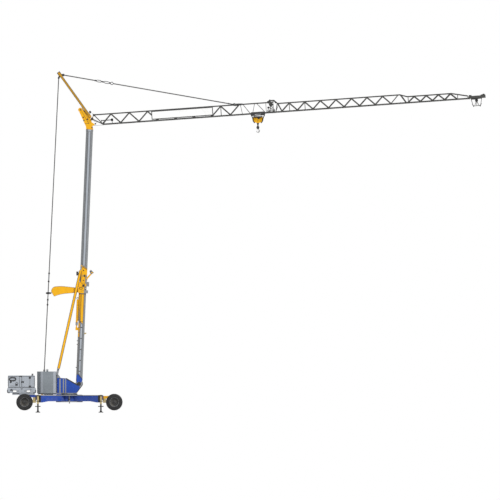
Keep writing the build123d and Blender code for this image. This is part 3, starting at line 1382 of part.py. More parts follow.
def block_cheeks():
    """Half-round side plates of the hook block with the sheaves' pins and the neck."""
    x = TROLLEY_X
    half = BLOCK_W / 2
    y0 = BLOCK_Y - CHEEK2_T
    top = Line((x - half, y0, BLOCK_Z1), (x + half, y0, BLOCK_Z1))
    bow = ThreePointArc((x + half, y0, BLOCK_Z1), (x, y0, BLOCK_Z0), (x - half, y0, BLOCK_Z1))
    cheek = extrude(make_face([top, bow]), amount=CHEEK2_T, dir=(0, 1, 0))
    shapes = [cheek, Pos(0, -2 * y0 - CHEEK2_T, 0) * cheek]
    reach = BLOCK_Y + CHEEK2_T
    shapes += [cross_pin(x + s * SHEAVE_X, SHEAVE_Z, SHEAVE_PIN_R, -reach, reach) for s in (-1, 1)]
    foot = (x - 2 * NECK_R, x + 2 * NECK_R)
    shapes.append(block(foot, (-BLOCK_Y, BLOCK_Y), (BLOCK_Z0 + CHEEK2_T, BLOCK_Z0 + 2 * NECK_R)))
    shapes.append(rod((x, 0, SWIVEL_Z1 + RUN), (x, 0, BLOCK_Z0 + NECK_R), NECK_R))
    return joined(shapes)


def block_sheaves():
    y = SHEAVE_T / 2
    shapes = []
    for x in (TROLLEY_X - SHEAVE_X, TROLLEY_X + SHEAVE_X):
        wheel = cross_pin(x, SHEAVE_Z, SHEAVE_R, -y, y)
        shapes.append(wheel - cross_pin(x, SHEAVE_Z, SHEAVE_PIN_R + RUN, -y, y))
    return joined(shapes)


def hoist_falls():
    """The two rope falls between trolley and hook block."""
    shapes = []
    for u, s in zip(top_sheaves(), (-1, 1)):
        x = TROLLEY_X + s * fall_x()
        shapes.append(rod((x, 0, SHEAVE_Z), (x, 0, jib_point(u, TOP_SHEAVE_V)[1]), FALL_R))
    return joined(shapes)


def hook():
    """Swivel ball with the open hook under it."""
    mid = (SWIVEL_Z0 + SWIVEL_Z1) / 2
    belly = SWIVEL_H / 6
    shank = HOOK_T / 2
    ball = [(0, SWIVEL_Z1), (SWIVEL_R / 2, SWIVEL_Z1), (SWIVEL_R, mid + belly), (SWIVEL_R, mid - belly),
            (SWIVEL_R / 2, SWIVEL_Z0), (shank, SWIVEL_Z0 - belly), (0, SWIVEL_Z0 - belly)]
    centre = SWIVEL_Z0 - belly - HOOK_R
    bow = Rot(90, 0, 0) * Torus(HOOK_R, HOOK_T / 2)
    throat = Pos(HOOK_R, 0, HOOK_R / 2) * Box(3 * HOOK_R / 2, 2 * HOOK_T, HOOK_R)
    return Pos(TROLLEY_X, 0, 0) * joined([turned(ball), Pos(0, 0, centre) * (bow - throat)])


def main():
    save("chassis_frame", chassis_frame())
    save("slewing_base", slewing_base())
    turns = arm_turns()
    save("outrigger_arms", joined([t * outrigger_arm() for t in turns]))
    save("jack_brackets", joined([t * jack_bracket() for t in turns]))
    save("jack_tubes", joined([t * jack_tube() for t in turns]))
    half_turn = Rot(0, 0, 180)
    save("carrier_rear", half_turn * carrier(REAR_RAIL_Z0, PLINTH_Z0))
    save("carrier_front", carrier(FRONT_RAIL_Z0, FRONT_RAIL_Z1))
    save("suspension_rear", half_turn * suspension(REAR_RAIL_Z0))
    save("suspension_front", suspension(FRONT_RAIL_Z0))
    for sx, sy in corners():
        name = CORNER_NAMES[sx, sy]
        place = Pos(sx * AXLE_X, sy * WHEEL_Y, AXLE_Z)
        turn = Rot(0, 0, 0) if sy > 0 else Rot(0, 0, 180)
        save(f"tyre_{name}", place * tyre())
        save(f"rim_{name}", place * turn * rim())
        save(f"jack_leg_{name}", jack_leg(sx, sy))
    save("generator_base", generator_base())
    save("generator_housing", generator_housing())
    save("generator_doors", generator_doors())
    save("platform_deck", platform_deck())
    save("platform_cheeks", platform_cheeks())
    save("cheek_ribs", cheek_ribs())
    save("mast_fork", mast_fork())
    save("counterweight", counterweight())
    save("mast_lower", mast_lower())
    save("mast_foot", mast_foot())
    save("mast_upper", mast_upper())
    save("mast_collar", mast_collar())
    save("jib_rest", jib_rest())
    save("guide_skirt", guide_skirt())
    save("climbing_cylinder", climbing_cylinder())
    save("guide_arm", guide_arm())
    save("rope_guide", rope_guide())
    save("backstay", backstay())
    save("jib_stay", jib_stay())
    save("erecting_struts", erecting_struts())
    save("strut_clevises", strut_clevises())
    save("mast_head", mast_head())
    save("apex_strut", apex_strut())
    save("apex_head", apex_head())
    save("jib_root_section", jib_root_section())
    save("jib_middle_section", jib_middle_section())
    save("jib_outer_section", jib_outer_section())
    save("jib_joints", jib_joints())
    save("sign_board", sign_board())
    save("jib_tip", jib_tip())
    save("hoist_line", hoist_line())
    save("trolley_winch", trolley_winch())
    save("trolley_frame", trolley_frame())
    save("trolley_wheels", trolley_wheels())
    save("trolley_sheaves", trolley_sheaves())
    save("block_cheeks", block_cheeks())
    save("block_sheaves", block_sheaves())
    save("hoist_falls", hoist_falls())
    save("hook", hook())


main()
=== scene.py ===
"""Finishes and fine pieces of a self-erecting tower crane on a road chassis, in metres."""

import json
import math

import bmesh
import bpy
import numpy as np
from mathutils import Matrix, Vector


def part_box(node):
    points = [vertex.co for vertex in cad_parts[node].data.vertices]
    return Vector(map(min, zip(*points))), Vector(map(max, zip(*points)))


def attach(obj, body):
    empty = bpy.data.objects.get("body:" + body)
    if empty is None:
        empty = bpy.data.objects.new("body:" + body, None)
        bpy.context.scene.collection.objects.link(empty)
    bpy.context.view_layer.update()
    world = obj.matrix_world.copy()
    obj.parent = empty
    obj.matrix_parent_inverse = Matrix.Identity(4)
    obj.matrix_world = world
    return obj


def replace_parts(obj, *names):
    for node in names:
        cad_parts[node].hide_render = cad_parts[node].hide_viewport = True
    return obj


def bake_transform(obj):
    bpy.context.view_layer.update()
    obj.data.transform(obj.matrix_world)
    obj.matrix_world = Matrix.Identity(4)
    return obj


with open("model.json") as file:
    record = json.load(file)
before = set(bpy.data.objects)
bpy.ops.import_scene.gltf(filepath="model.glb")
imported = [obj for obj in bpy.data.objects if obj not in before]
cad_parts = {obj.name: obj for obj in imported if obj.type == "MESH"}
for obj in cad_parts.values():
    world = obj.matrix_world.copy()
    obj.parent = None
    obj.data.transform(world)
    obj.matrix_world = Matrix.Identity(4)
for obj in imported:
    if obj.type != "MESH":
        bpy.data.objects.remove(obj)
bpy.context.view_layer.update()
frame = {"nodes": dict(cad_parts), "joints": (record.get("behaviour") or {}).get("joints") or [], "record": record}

# Places read from the frame
JOINTS = {joint["name"]: joint for joint in frame["joints"]}
CORNERS = ("rear_right", "rear_left", "front_right", "front_left")
SLOPE = math.atan2(JOINTS["trolley_travel"]["axis"][2], JOINTS["trolley_travel"]["axis"][0])
HOOK_X = JOINTS["hook_swivel"]["pos_m"][0]

# Leaning frames: the mast stands on its foot pin, the jib starts at the root of its lower chords
FOOT_PIN = (0.609, 0, 1.815)
LEAN = math.radians(2.37)
JIB_ROOT = (2.079, 0, 18.1103)
JIB_GAUGE = 0.4
UP = (0, 0, 1)


def low_corner(node):
    """The lowest corner of a node's box as an array."""
    return np.array(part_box(node)[0])


def high_corner(node):
    """The highest corner of a node's box as an array."""
    return np.array(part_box(node)[1])


def middle(node):
    """The middle of a node's box as an array."""
    return (low_corner(node) + high_corner(node)) / 2


# Shapes: each is a pair of points and faces, the faces in arrays by their number of corners


def grid_faces(rows, cols, close_rows=False, close_cols=False):
    """Four-cornered faces between neighbours of a grid; a closed way joins its last line to its first."""
    i, j = np.meshgrid(np.arange(rows - 1 + close_rows), np.arange(cols - 1 + close_cols), indexing="ij")
    down = (i + 1) % rows
    right = (j + 1) % cols
    return np.stack([i * cols + j, i * cols + right, down * cols + right, down * cols + j], -1).reshape(-1, 4)


def closed_rows(points):
    """A shape from a grid of rings: neighbours are joined, and the first and last rings are filled."""
    rows, cols = points.shape[:2]
    ends = np.array([np.arange(cols)[::-1], np.arange(cols) + (rows - 1) * cols])
    return points.reshape(-1, 3), [grid_faces(rows, cols, close_cols=True), ends]


def across(direction, hint):
    """Two unit vectors square to a direction, the first as near as can be to the hint."""
    direction = direction / np.linalg.norm(direction, axis=-1, keepdims=True)
    side = hint - direction * np.sum(direction * hint, axis=-1, keepdims=True)
    side = side / np.linalg.norm(side, axis=-1, keepdims=True)
    return side, np.cross(direction, side)


def along_path(path, outline, hint=(0, 1, 0)):
    """An outline of (side, up) pairs carried along a path, square to the way at each point."""
    path = np.asarray(path, float)
    side, up = across(np.gradient(path, axis=0), np.asarray(hint, float))
    outline = np.asarray(outline, float)
    rings = path[:, None] + side[:, None] * outline[None, :, :1] + up[:, None] * outline[None, :, 1:]
    return closed_rows(rings)


def circle(radius, sides):
    """Points of a circle: radius times cosine and sine of equal steps of angle."""
    angle = np.linspace(0, 2 * np.pi, sides, endpoint=False)
    return radius * np.stack([np.cos(angle), np.sin(angle)], -1)


def rectangle(width, height):
    """The four corners of a rectangle about its middle."""
    return np.array([[-1, -1], [1, -1], [1, 1], [-1, 1]]) * np.array([width, height]) / 2


def straight(start, end, outline, hint=(0, 1, 0)):
    """An outline carried from one point straight to another."""
    return along_path([start, end], outline, hint)


def turned(profile, centre, axis, sides=32):
    """A profile of (radius, height along the axis) turned round an axis; both ends are filled."""
    profile = np.asarray(profile, float)
    axis = np.asarray(axis, float) / np.linalg.norm(axis)
    side, up = across(axis, np.array([0.31, 0.52, 0.79]))
    around = circle(1, sides)
    ring = around[:, :1] * side + around[:, 1:] * up
    rings = np.asarray(centre) + profile[:, None, 1:] * axis + profile[:, None, :1] * ring[None]
    return closed_rows(rings)


def loop(path, outline, hint):
    """An outline carried round a path that ends where it starts."""
    path = np.asarray(path, float)
    ways = np.roll(path, -1, axis=0) - np.roll(path, 1, axis=0)
    side, up = across(ways, np.asarray(hint, float))
    outline = np.asarray(outline, float)
    rings = path[:, None] + side[:, None] * outline[None, :, :1] + up[:, None] * outline[None, :, 1:]
    rows, cols = rings.shape[:2]
    return rings.reshape(-1, 3), [grid_faces(rows, cols, True, True)]


def block(low, high):
    """A box between two corners: its lower rectangle carried up."""
    low = np.asarray(low, float)
    high = np.asarray(high, float)
    mid = (low + high) / 2
    size = high - low
    return straight((mid[0], mid[1], low[2]), (mid[0], mid[1], high[2]), rectangle(size[1], size[0]))


def leaned(shapes, origin, angle):
    """Shapes drawn upright, turned in the side plane and put at an origin: x and z turn as one pair."""
    c, s = math.cos(angle), math.sin(angle)
    turn = np.array([[c, 0, s], [0, 1, 0], [-s, 0, c]])
    return [(points @ turn.T + origin, faces) for points, faces in shapes]


def on_mast(shapes):
    """Shapes drawn with x ahead of the mast's axis and z up from its foot pin."""
    return leaned(shapes, FOOT_PIN, LEAN)


def on_jib(shapes):
    """Shapes drawn with x along the lower chords from their root and z square to them."""
    return leaned(shapes, JIB_ROOT, -SLOPE)


def on_slope(shapes, depth, side):
    """Shapes drawn flat, laid on a sloping side of the jib: y is the way out from it, z the height gained."""
    length = math.hypot(depth, JIB_GAUGE)
    laid = []
    for points, faces in shapes:
        x, out, z = points.T
        y = side * (JIB_GAUGE * (1 - z / depth) + out * depth / length)
        laid.append((np.stack([x, y, z + out * JIB_GAUGE / length], -1), faces))
    return laid


def slab(outline, y0, y1):
    """A flat outline of (x, z) pairs drawn out from y0 to y1."""
    outline = np.asarray(outline, float)
    return closed_rows(np.stack([np.insert(outline, 1, y, axis=1) for y in (y0, y1)]))


def eased(points, count=24):
    """A line through points, cut into even steps, with each step drawn to the middle of its neighbours."""
    points = np.asarray(points, float)
    t = np.concatenate([[0], np.cumsum(np.linalg.norm(np.diff(points, axis=0), axis=1))])
    fine = np.linspace(0, t[-1], count)
    curve = np.stack([np.interp(fine, t, column) for column in points.T], -1)
    inner = (curve[:-2] + 2 * curve[1:-1] + curve[2:]) / 4
    return np.concatenate([curve[:1], inner, curve[-1:]])


def board(x, z, width, height, y0, y1):
    """A flat rectangle about (x, z), from y0 to y1."""
    return slab(rectangle(width, height) + [x, z], y0, y1)


def strip(start, end, width, y0, y1, shift=0):
    """A flat bar along a line of the side plane, half its width to each side, moved sideways by a shift."""
    start, end = np.asarray(start, float), np.asarray(end, float)
    way = (end - start) / np.linalg.norm(end - start)
    left = np.array([-way[1], way[0]])
    start, end, half = start + left * shift, end + left * shift, left * width / 2
    return slab([start - half, end - half, end + half, start + half], y0, y1)


def level(x0, x1, z, width, y0, y1):
    """A flat bar along x in the side plane."""
    return strip((x0, z), (x1, z), width, y0, y1)


def upright(x, z0, z1, width, y0, y1):
    """A flat bar straight up in the side plane."""
    return strip((x, z0), (x, z1), width, y0, y1)


def barrel(low, high, start, end, chamfer):
    """The profile of a turned sleeve: its radius rises from low to high over a chamfer at each end."""
    return [(low, start), (high, start + chamfer), (high, end - chamfer), (low, end)]


def pin(x, z, radius, y0, y1, sides=24):
    """A round pin across the crane with a chamfer at both ends."""
    edge = min(0.2 * radius, 0.3 * abs(y1 - y0)) * np.sign(y1 - y0)
    low = radius - abs(edge)
    return turned(barrel(low, radius, y0, y1, edge), (x, 0, z), (0, 1, 0), sides)


def hoop(x, z, half_width, half_height, tube, y, power=2.0, steps=32):
    """A round bar bent to a rounded frame: cosine and sine of the turn, squared up by a power."""
    a = np.linspace(0, 2 * np.pi, steps, endpoint=False)
    c, s = np.cos(a), np.sin(a)
    path = np.stack([x + half_width * np.sign(c) * np.abs(c) ** (2 / power), np.full(steps, y),
                     z + half_height * np.sign(s) * np.abs(s) ** (2 / power)], -1)
    return loop(path, circle(tube, 8), (0, 1, 0))


def ball(centre, radius, steps=9):
    """A ball: sine of the way from pole to pole as radius, cosine as height."""
    a = np.linspace(0.05, np.pi - 0.05, steps)
    return turned(np.stack([radius * np.sin(a), -radius * np.cos(a)], -1), centre, UP, 16)


def tapered(path, radii, sides=12, hint=(0, 1, 0)):
    """A round bar along a path whose radius changes from point to point."""
    path = np.asarray(path, float)
    side, up = across(np.gradient(path, axis=0), np.asarray(hint, float))
    around = circle(1, sides)[None] * np.asarray(radii, float)[:, None, None]
    return closed_rows(path[:, None] + side[:, None] * around[..., :1] + up[:, None] * around[..., 1:])


def turned_ring(profile, centre, axis, sides=40):
    """A closed profile of (radius, height along the axis) turned round an axis, open in the middle."""
    points = turned(profile, centre, axis, sides)[0]
    return points, [grid_faces(len(profile), sides, True, True)]


def flat_ring(inner, outer, low, high):
    """The profile of a ring with a rectangular section."""
    return [(inner, low), (outer, low), (outer, high), (inner, high)]


def sheave(x, z, radius, bore, half):
    """A grooved rope wheel across the crane: thick hub, thin web, and a rim that dips in its middle."""
    wall = [(bore, half), (bore + 0.014, half), (bore + 0.014, 0.4 * half), (0.8 * radius, 0.4 * half),
            (0.85 * radius, half), (radius, half)]
    profile = [(r, -y) for r, y in wall] + [(0.88 * radius, 0)] + wall[::-1]
    return turned_ring(profile, (x, 0, z), (0, 1, 0))


def stranded(start, end, radius, strands=6, lay=0.09, rows=48):
    """A rope: round it the radius dips between strands, and the dips turn as they go along."""
    start, end = np.asarray(start, float), np.asarray(end, float)
    along = np.linspace(0, 1, rows)[:, None]
    a = np.linspace(0, 2 * np.pi, 5 * strands, endpoint=False)[None]
    turn = 2 * np.pi * along * np.linalg.norm(end - start) / (lay * strands)
    r = radius * (0.84 + 0.16 * np.abs(np.cos(strands * (a - turn) / 2)))
    side, up = across((end - start)[None], np.array([0.3, 1, 0.2]))
    path = start + along[..., None] * (end - start)
    return closed_rows(path + side * (r * np.cos(a))[..., None] + up * (r * np.sin(a))[..., None])


def mirrored(shapes):
    """The shapes and their mirror images on the other side of the crane's middle plane."""
    return shapes + [(points * [1, -1, 1], faces) for points, faces in shapes]


def copies(shape, places):
    """One shape put at many places: its points are added to each place in one sum."""
    points, faces = shape
    places = np.asarray(places, float)
    steps = np.arange(len(places)) * len(points)
    moved = (places[:, None] + points[None]).reshape(-1, 3)
    return moved, [(f[None] + steps[:, None, None]).reshape(-1, f.shape[1]) for f in faces]


def bolt_heads(places, axis, radius, height):
    """Six-sided bolt heads on washers, all facing along one axis."""
    washer = turned([(1.25 * radius, 0), (1.25 * radius, 0.25 * height)], (0, 0, 0), axis, 12)
    profile = [(radius, 0.25 * height), (radius, 0.9 * height), (0.85 * radius, height)]
    head = turned(profile, (0, 0, 0), axis, 6)
    return [copies(washer, places), copies(head, places)]


def bolt_circle(x, z, radius, count, y):
    """Places on a circle round a pin across the crane, at one y."""
    return np.insert(circle(radius, count) + [x, z], 1, y, axis=1)


def put(name, shapes, slot="dark_steel", body="upperworks", smooth=40, bevel=0):
    """One object from many shapes, on a body, in the finish of a slot; faces under the angle are smooth."""
    starts = np.cumsum([0] + [len(points) for points, _ in shapes])
    faces = [(rows + start).tolist() for start, (_, parts) in zip(starts, shapes) for rows in parts]
    mesh = bpy.data.meshes.new(name)
    mesh.from_pydata(np.concatenate([points for points, _ in shapes]), [], sum(faces, []))
    work = bmesh.new()
    work.from_mesh(mesh)
    bmesh.ops.recalc_face_normals(work, faces=work.faces)
    work.to_mesh(mesh)
    work.free()
    mesh.shade_smooth()
    mesh.set_sharp_from_angle(angle=math.radians(smooth))
    piece = bpy.data.objects.new(name, mesh)
    bpy.context.scene.collection.objects.link(piece)
    mesh.materials.append(FINISHES[slot])
    if bevel:
        rounding = piece.modifiers.new("edges", "BEVEL")
        rounding.width = bevel
        rounding.segments = 1
        rounding.limit_method = "ANGLE"
    if body:
        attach(piece, body)
    return piece


# Finishes


def add(tree, kind, inputs=None, **settings):
    """One node: settings are its properties, inputs its sockets, each a value or another node's output."""
    node = tree.nodes.new(kind)
    for key, value in settings.items():
        setattr(node, key, value)
    for key, value in (inputs or {}).items():
        if isinstance(value, bpy.types.NodeSocket):
            tree.links.new(value, node.inputs[key])
        else:
            node.inputs[key].default_value = value
    return node


def new_finish(name):
    """An empty finish: its node tree, its shader and the place on the object."""
    finish = bpy.data.materials.new(name)
    finish.use_nodes = True
    tree = finish.node_tree
    place = add(tree, "ShaderNodeTexCoord").outputs["Object"]
    return finish, tree, tree.nodes["Principled BSDF"], place


def noise(tree, place, scale, detail=3.0, stretch=(1, 1, 1)):
    """Soft random cloud from 0 to 1, drawn out along an axis where its stretch is small."""
    where = add(tree, "ShaderNodeMapping", {"Vector": place, "Scale": stretch})
    texture = add(tree, "ShaderNodeTexNoise", {"Vector": where.outputs[0], "Scale": scale, "Detail": detail})
    return texture.outputs["Fac"]


def spread(tree, value, low, high, new_low, new_high):
    """A value's range from low to high laid onto a new range, and held there."""
    node = add(tree, "ShaderNodeMapRange", {"Value": value, "From Min": low, "From Max": high,
                                            "To Min": new_low, "To Max": new_high})
    return node.outputs[0]


def cloud(tree, place, scale, low, high, top=1, detail=3.0, stretch=(1, 1, 1)):
    """Soft random cloud with its range from low to high laid onto 0 to a top value."""
    return spread(tree, noise(tree, place, scale, detail, stretch), low, high, 0, top)


def mix(tree, share, first, second):
    """Two colours mixed by a share."""
    node = add(tree, "ShaderNodeMix", {"Factor": share}, data_type="RGBA")
    for key, colour in (("A", first), ("B", second)):
        socket = [s for s in node.inputs if s.name == key and s.type == "RGBA"][0]
        if isinstance(colour, bpy.types.NodeSocket):
            tree.links.new(colour, socket)
        else:
            socket.default_value = (*colour, 1)
    return [s for s in node.outputs if s.type == "RGBA"][0]


def times(tree, first, second):
    """The product of two values."""
    return add(tree, "ShaderNodeMath", {0: first, 1: second}, operation="MULTIPLY").outputs[0]


def shade(colour, factor):
    """A colour made lighter or darker."""
    return tuple(min(1, c * factor) for c in colour)


def bumped(tree, shader, height, strength, distance):
    """Relief on the shader from a height value."""
    relief = add(tree, "ShaderNodeBump", {"Height": height, "Strength": strength, "Distance": distance})
    tree.links.new(relief.outputs[0], shader.inputs["Normal"])


def worn_edges(tree, place, radius):
    """1 along sharp edges, broken up by a cloud: where the rounded normal leaves the true one."""
    rounded = add(tree, "ShaderNodeBevel", {"Radius": radius}, samples=4).outputs[0]
    true = add(tree, "ShaderNodeNewGeometry").outputs["Normal"]
    same = add(tree, "ShaderNodeVectorMath", {0: rounded, 1: true}, operation="DOT_PRODUCT").outputs["Value"]
    return times(tree, spread(tree, same, 0.98, 0.8, 0, 1), cloud(tree, place, 9, 0.5, 0.62))


DUST_HEIGHTS = (1.3, 0.2)
ROAD_DUST = (0.33, 0.29, 0.23)
PRIMER = (0.12, 0.11, 0.1)


def sprayed_paint(name, colour, roughness=0.34, dust=0.35):
    """Paint on steel: faint clouds and rain streaks, worn edges, road dust low down, fine orange peel."""
    finish, tree, shader, place = new_finish(name)
    paint = mix(tree, cloud(tree, place, 1.1, 0.3, 0.7), shade(colour, 0.93), shade(colour, 1.05))
    streaks = cloud(tree, place, 7, 0.5, 0.78, 0.3, 4, (1, 1, 0.06))
    paint = mix(tree, streaks, paint, shade(colour, 0.62))
    paint = mix(tree, times(tree, worn_edges(tree, place, 0.012), 0.55), paint, PRIMER)
    height = add(tree, "ShaderNodeSeparateXYZ", {0: place}).outputs["Z"]
    dusty = times(tree, spread(tree, height, *DUST_HEIGHTS, 0, dust), cloud(tree, place, 3, 0.35, 0.7, 1, 5))
    paint = mix(tree, dusty, paint, ROAD_DUST)
    tree.links.new(paint, shader.inputs["Base Color"])
    dull = spread(tree, noise(tree, place, 5, 4), 0.3, 0.7, roughness, roughness + 0.16)
    tree.links.new(dull, shader.inputs["Roughness"])
    shader.inputs["Specular IOR Level"].default_value = 0.2
    bumped(tree, shader, noise(tree, place, 260, 1), 0.12, 0.0006)
    return finish


def galvanised(name, colour, spangle=26.0, metal=0.35):
    """Zinc-coated steel: flat crystals of slightly different grey, grey runs, and a dull bloom."""
    finish, tree, shader, place = new_finish(name)
    crystals = add(tree, "ShaderNodeTexVoronoi", {"Vector": place, "Scale": spangle}).outputs["Color"]
    tone = add(tree, "ShaderNodeSeparateColor", {0: crystals}).outputs[0]
    zinc = mix(tree, tone, shade(colour, 0.88), shade(colour, 1.1))
    bloom = cloud(tree, place, 1.7, 0.45, 0.7, 0.5, 5)
    zinc = mix(tree, bloom, zinc, shade(colour, 1.22))
    runs = cloud(tree, place, 11, 0.52, 0.75, 0.4, 4, (1, 1, 0.05))
    zinc = mix(tree, runs, zinc, shade(colour, 0.6))
    tree.links.new(zinc, shader.inputs["Base Color"])
    tree.links.new(spread(tree, tone, 0, 1, 0.42, 0.6), shader.inputs["Roughness"])
    shader.inputs["Metallic"].default_value = metal
    shader.inputs["Specular IOR Level"].default_value = 0.2
    bumped(tree, shader, noise(tree, place, 120, 2), 0.1, 0.0008)
    return finish


def cast_concrete(name, colour):
    """Concrete from a form: clouds, damp runs, board joints every half metre and air holes."""
    finish, tree, shader, place = new_finish(name)
    stone = mix(tree, cloud(tree, place, 1.6, 0.3, 0.7, 1, 6), shade(colour, 0.86), shade(colour, 1.1))
    grains = cloud(tree, place, 160, 0.35, 0.65, 0.35, 2)
    stone = mix(tree, grains, stone, shade(colour, 0.7))
    runs = cloud(tree, place, 5, 0.52, 0.8, 0.45, 5, (1, 1, 0.08))
    stone = mix(tree, runs, stone, shade(colour, 0.6))
    cells = add(tree, "ShaderNodeTexVoronoi", {"Vector": place, "Scale": 21.0}).outputs["Distance"]
    holes = spread(tree, cells, 0.07, 0.12, 1, 0)
    stone = mix(tree, holes, stone, shade(colour, 0.45))
    height = add(tree, "ShaderNodeSeparateXYZ", {0: place}).outputs["Z"]
    boards = add(tree, "ShaderNodeMath", {0: height, 1: 0.46}, operation="PINGPONG").outputs[0]
    joints = spread(tree, boards, 0.006, 0.0, 0, 1)
    stone = mix(tree, times(tree, joints, 0.5), stone, shade(colour, 0.5))
    tree.links.new(stone, shader.inputs["Base Color"])
    shader.inputs["Roughness"].default_value = 0.88
    grain = noise(tree, place, 60, 5)
    relief = add(tree, "ShaderNodeMath", {0: grain, 1: holes}, operation="SUBTRACT")
    bumped(tree, shader, relief.outputs[0], 0.35, 0.003)
    return finish


def tyre_rubber(name, colour):
    """Black rubber with road dust in its lower places and fine moulding grain."""
    finish, tree, shader, place = new_finish(name)
    dust = cloud(tree, place, 6, 0.45, 0.75, 0.35, 6)
    tree.links.new(mix(tree, dust, colour, shade(colour, 3.2)), shader.inputs["Base Color"])
    tree.links.new(spread(tree, noise(tree, place, 14), 0.3, 0.7, 0.68, 0.9), shader.inputs["Roughness"])
    bumped(tree, shader, noise(tree, place, 200, 2), 0.2, 0.001)
    return finish


def worked_steel(name, colour, metal=0.8, roughness=0.36):
    """Bare or oiled steel: dark clouds, bright rubbed edges and fine scratches."""
    finish, tree, shader, place = new_finish(name)
    steel = mix(tree, cloud(tree, place, 8, 0.35, 0.7, 1, 5), shade(colour, 0.75), shade(colour, 1.15))
    steel = mix(tree, times(tree, worn_edges(tree, place, 0.008), 0.8), steel, shade(colour, 1.9))
    tree.links.new(steel, shader.inputs["Base Color"])
    shader.inputs["Metallic"].default_value = metal
    scratches = noise(tree, place, 90, 3, (1, 1, 0.1))
    tree.links.new(spread(tree, scratches, 0.3, 0.7, roughness, roughness + 0.2), shader.inputs["Roughness"])
    bumped(tree, shader, scratches, 0.15, 0.0005)
    return finish


def wire_rope(name, colour):
    """Steel rope: slanting waves for its strands, and worn clouds."""
    finish, tree, shader, place = new_finish(name)
    wear = cloud(tree, place, 16, 0.35, 0.7, 1, 5)
    tree.links.new(mix(tree, wear, shade(colour, 0.75), shade(colour, 1.15)), shader.inputs["Base Color"])
    shader.inputs["Metallic"].default_value = 0.55
    waves = {"Vector": place, "Scale": 32.0, "Distortion": 1.0}
    lay = add(tree, "ShaderNodeTexWave", waves, bands_direction="DIAGONAL").outputs["Fac"]
    tree.links.new(spread(tree, lay, 0, 1, 0.42, 0.62), shader.inputs["Roughness"])
    bumped(tree, shader, lay, 0.3, 0.003)
    return finish


FINISHES = {
    "chassis_blue": sprayed_paint("chassis_blue", (0.020, 0.068, 0.36)),
    "steel_grey": sprayed_paint("steel_grey", (0.26, 0.27, 0.285), dust=0.2),
    "dark_steel": worked_steel("dark_steel", (0.016, 0.016, 0.017), 0.0, 0.5),
    "jack_beige": sprayed_paint("jack_beige", (0.47, 0.37, 0.17)),
    "crane_yellow": sprayed_paint("crane_yellow", (0.82, 0.42, 0.010)),
    "strut_ochre": sprayed_paint("strut_ochre", (0.44, 0.235, 0.018)),
    "tyre_black": tyre_rubber("tyre_black", (0.007, 0.007, 0.007)),
    "rim_grey": sprayed_paint("rim_grey", (0.05, 0.05, 0.049)),
    "generator_grey": sprayed_paint("generator_grey", (0.37, 0.40, 0.44), dust=0.0),
    "mast_grey": galvanised("mast_grey", (0.235, 0.245, 0.255), metal=0.1),
    "jib_grey": galvanised("jib_grey", (0.058, 0.058, 0.055), metal=0.0),
    "concrete": cast_concrete("concrete", (0.215, 0.24, 0.262)),
    "rope_steel": wire_rope("rope_steel", (0.10, 0.10, 0.098)),
    "board_white": sprayed_paint("board_white", (0.86, 0.86, 0.85), roughness=0.3),
    "hook_steel": worked_steel("hook_steel", (0.42, 0.42, 0.42)),
}


def dress_nodes():
    """Each node of the frame takes the finish of its slot."""
    for part in frame["record"]["subparts"]:
        mesh = frame["nodes"][part["node"]].data
        mesh.materials.clear()
        mesh.materials.append(FINISHES[part["material_slot"]])


# Wheels

TYRE_SIDES = 180
TYRE_ROWS = 37
TYRE_SQUARENESS = 0.55
WALL_BULGE = 0.42
TREAD_DEPTH = 0.014
TREAD_BLOCKS = 60
TREAD_RIBS = 5
RIB_STEP = 2.499  # just under half the ribs, so that the outer edge stays in the last one
CROSS_CUT = 0.72
RING_CUT = 0.44
TREAD_EDGE, TREAD_FADE = 0.93, 0.05
NUT_COUNT = 10
NUT_CIRCLE = 0.135
NUT_RADIUS, NUT_HEIGHT = 0.019, 0.034
DISC_OUT = 0.01
CAP_PROFILE = ((0.08, 0), (0.078, 0.02), (0.062, 0.034), (0.02, 0.04))
CAP_BACK = 0.075
RIM_RING, RIM_TUBE, RIM_BACK = 0.278, 0.012, 0.004


def tyre(name):
    """A treaded tyre: across it a rounded section, whose radius drops at the grooves of a block pattern."""
    node = f"tyre_{name}"
    centre = middle(node)
    _, half, radius = (high_corner(node) - low_corner(node)) / 2
    bore = (high_corner(f"rim_{name}") - low_corner(f"rim_{name}"))[2] / 2
    a = np.linspace(0, 2 * np.pi, TYRE_SIDES, endpoint=False)[:, None]
    bend = np.pi * (np.linspace(0, 1, TYRE_ROWS)[None] - 0.5)
    y = half * np.sign(np.sin(bend)) * np.abs(np.sin(bend)) ** TYRE_SQUARENESS + 0 * a
    wall = np.abs(np.cos(bend)) ** WALL_BULGE
    stagger = np.floor((y / half + 1) * RIB_STEP) % 2
    cross_grooves = np.sin(TREAD_BLOCKS * a + np.pi * stagger) > CROSS_CUT
    ring_grooves = np.abs((y / half * TREAD_RIBS / 2) % 1 - 0.5) > RING_CUT
    tread = np.clip((wall - TREAD_EDGE) / TREAD_FADE, 0, 1)
    r = bore + (radius - bore) * wall - TREAD_DEPTH * (cross_grooves | ring_grooves) * tread
    points = np.stack([centre[0] + r * np.cos(a), centre[1] + y, centre[2] + r * np.sin(a)], -1)
    shape = (points.reshape(-1, 3), [grid_faces(*points.shape[:2], close_rows=True, close_cols=True)])
    piece = put(f"treaded_tyre_{name}", [shape], "tyre_black", f"wheel_{name}", smooth=35)
    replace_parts(piece, node)


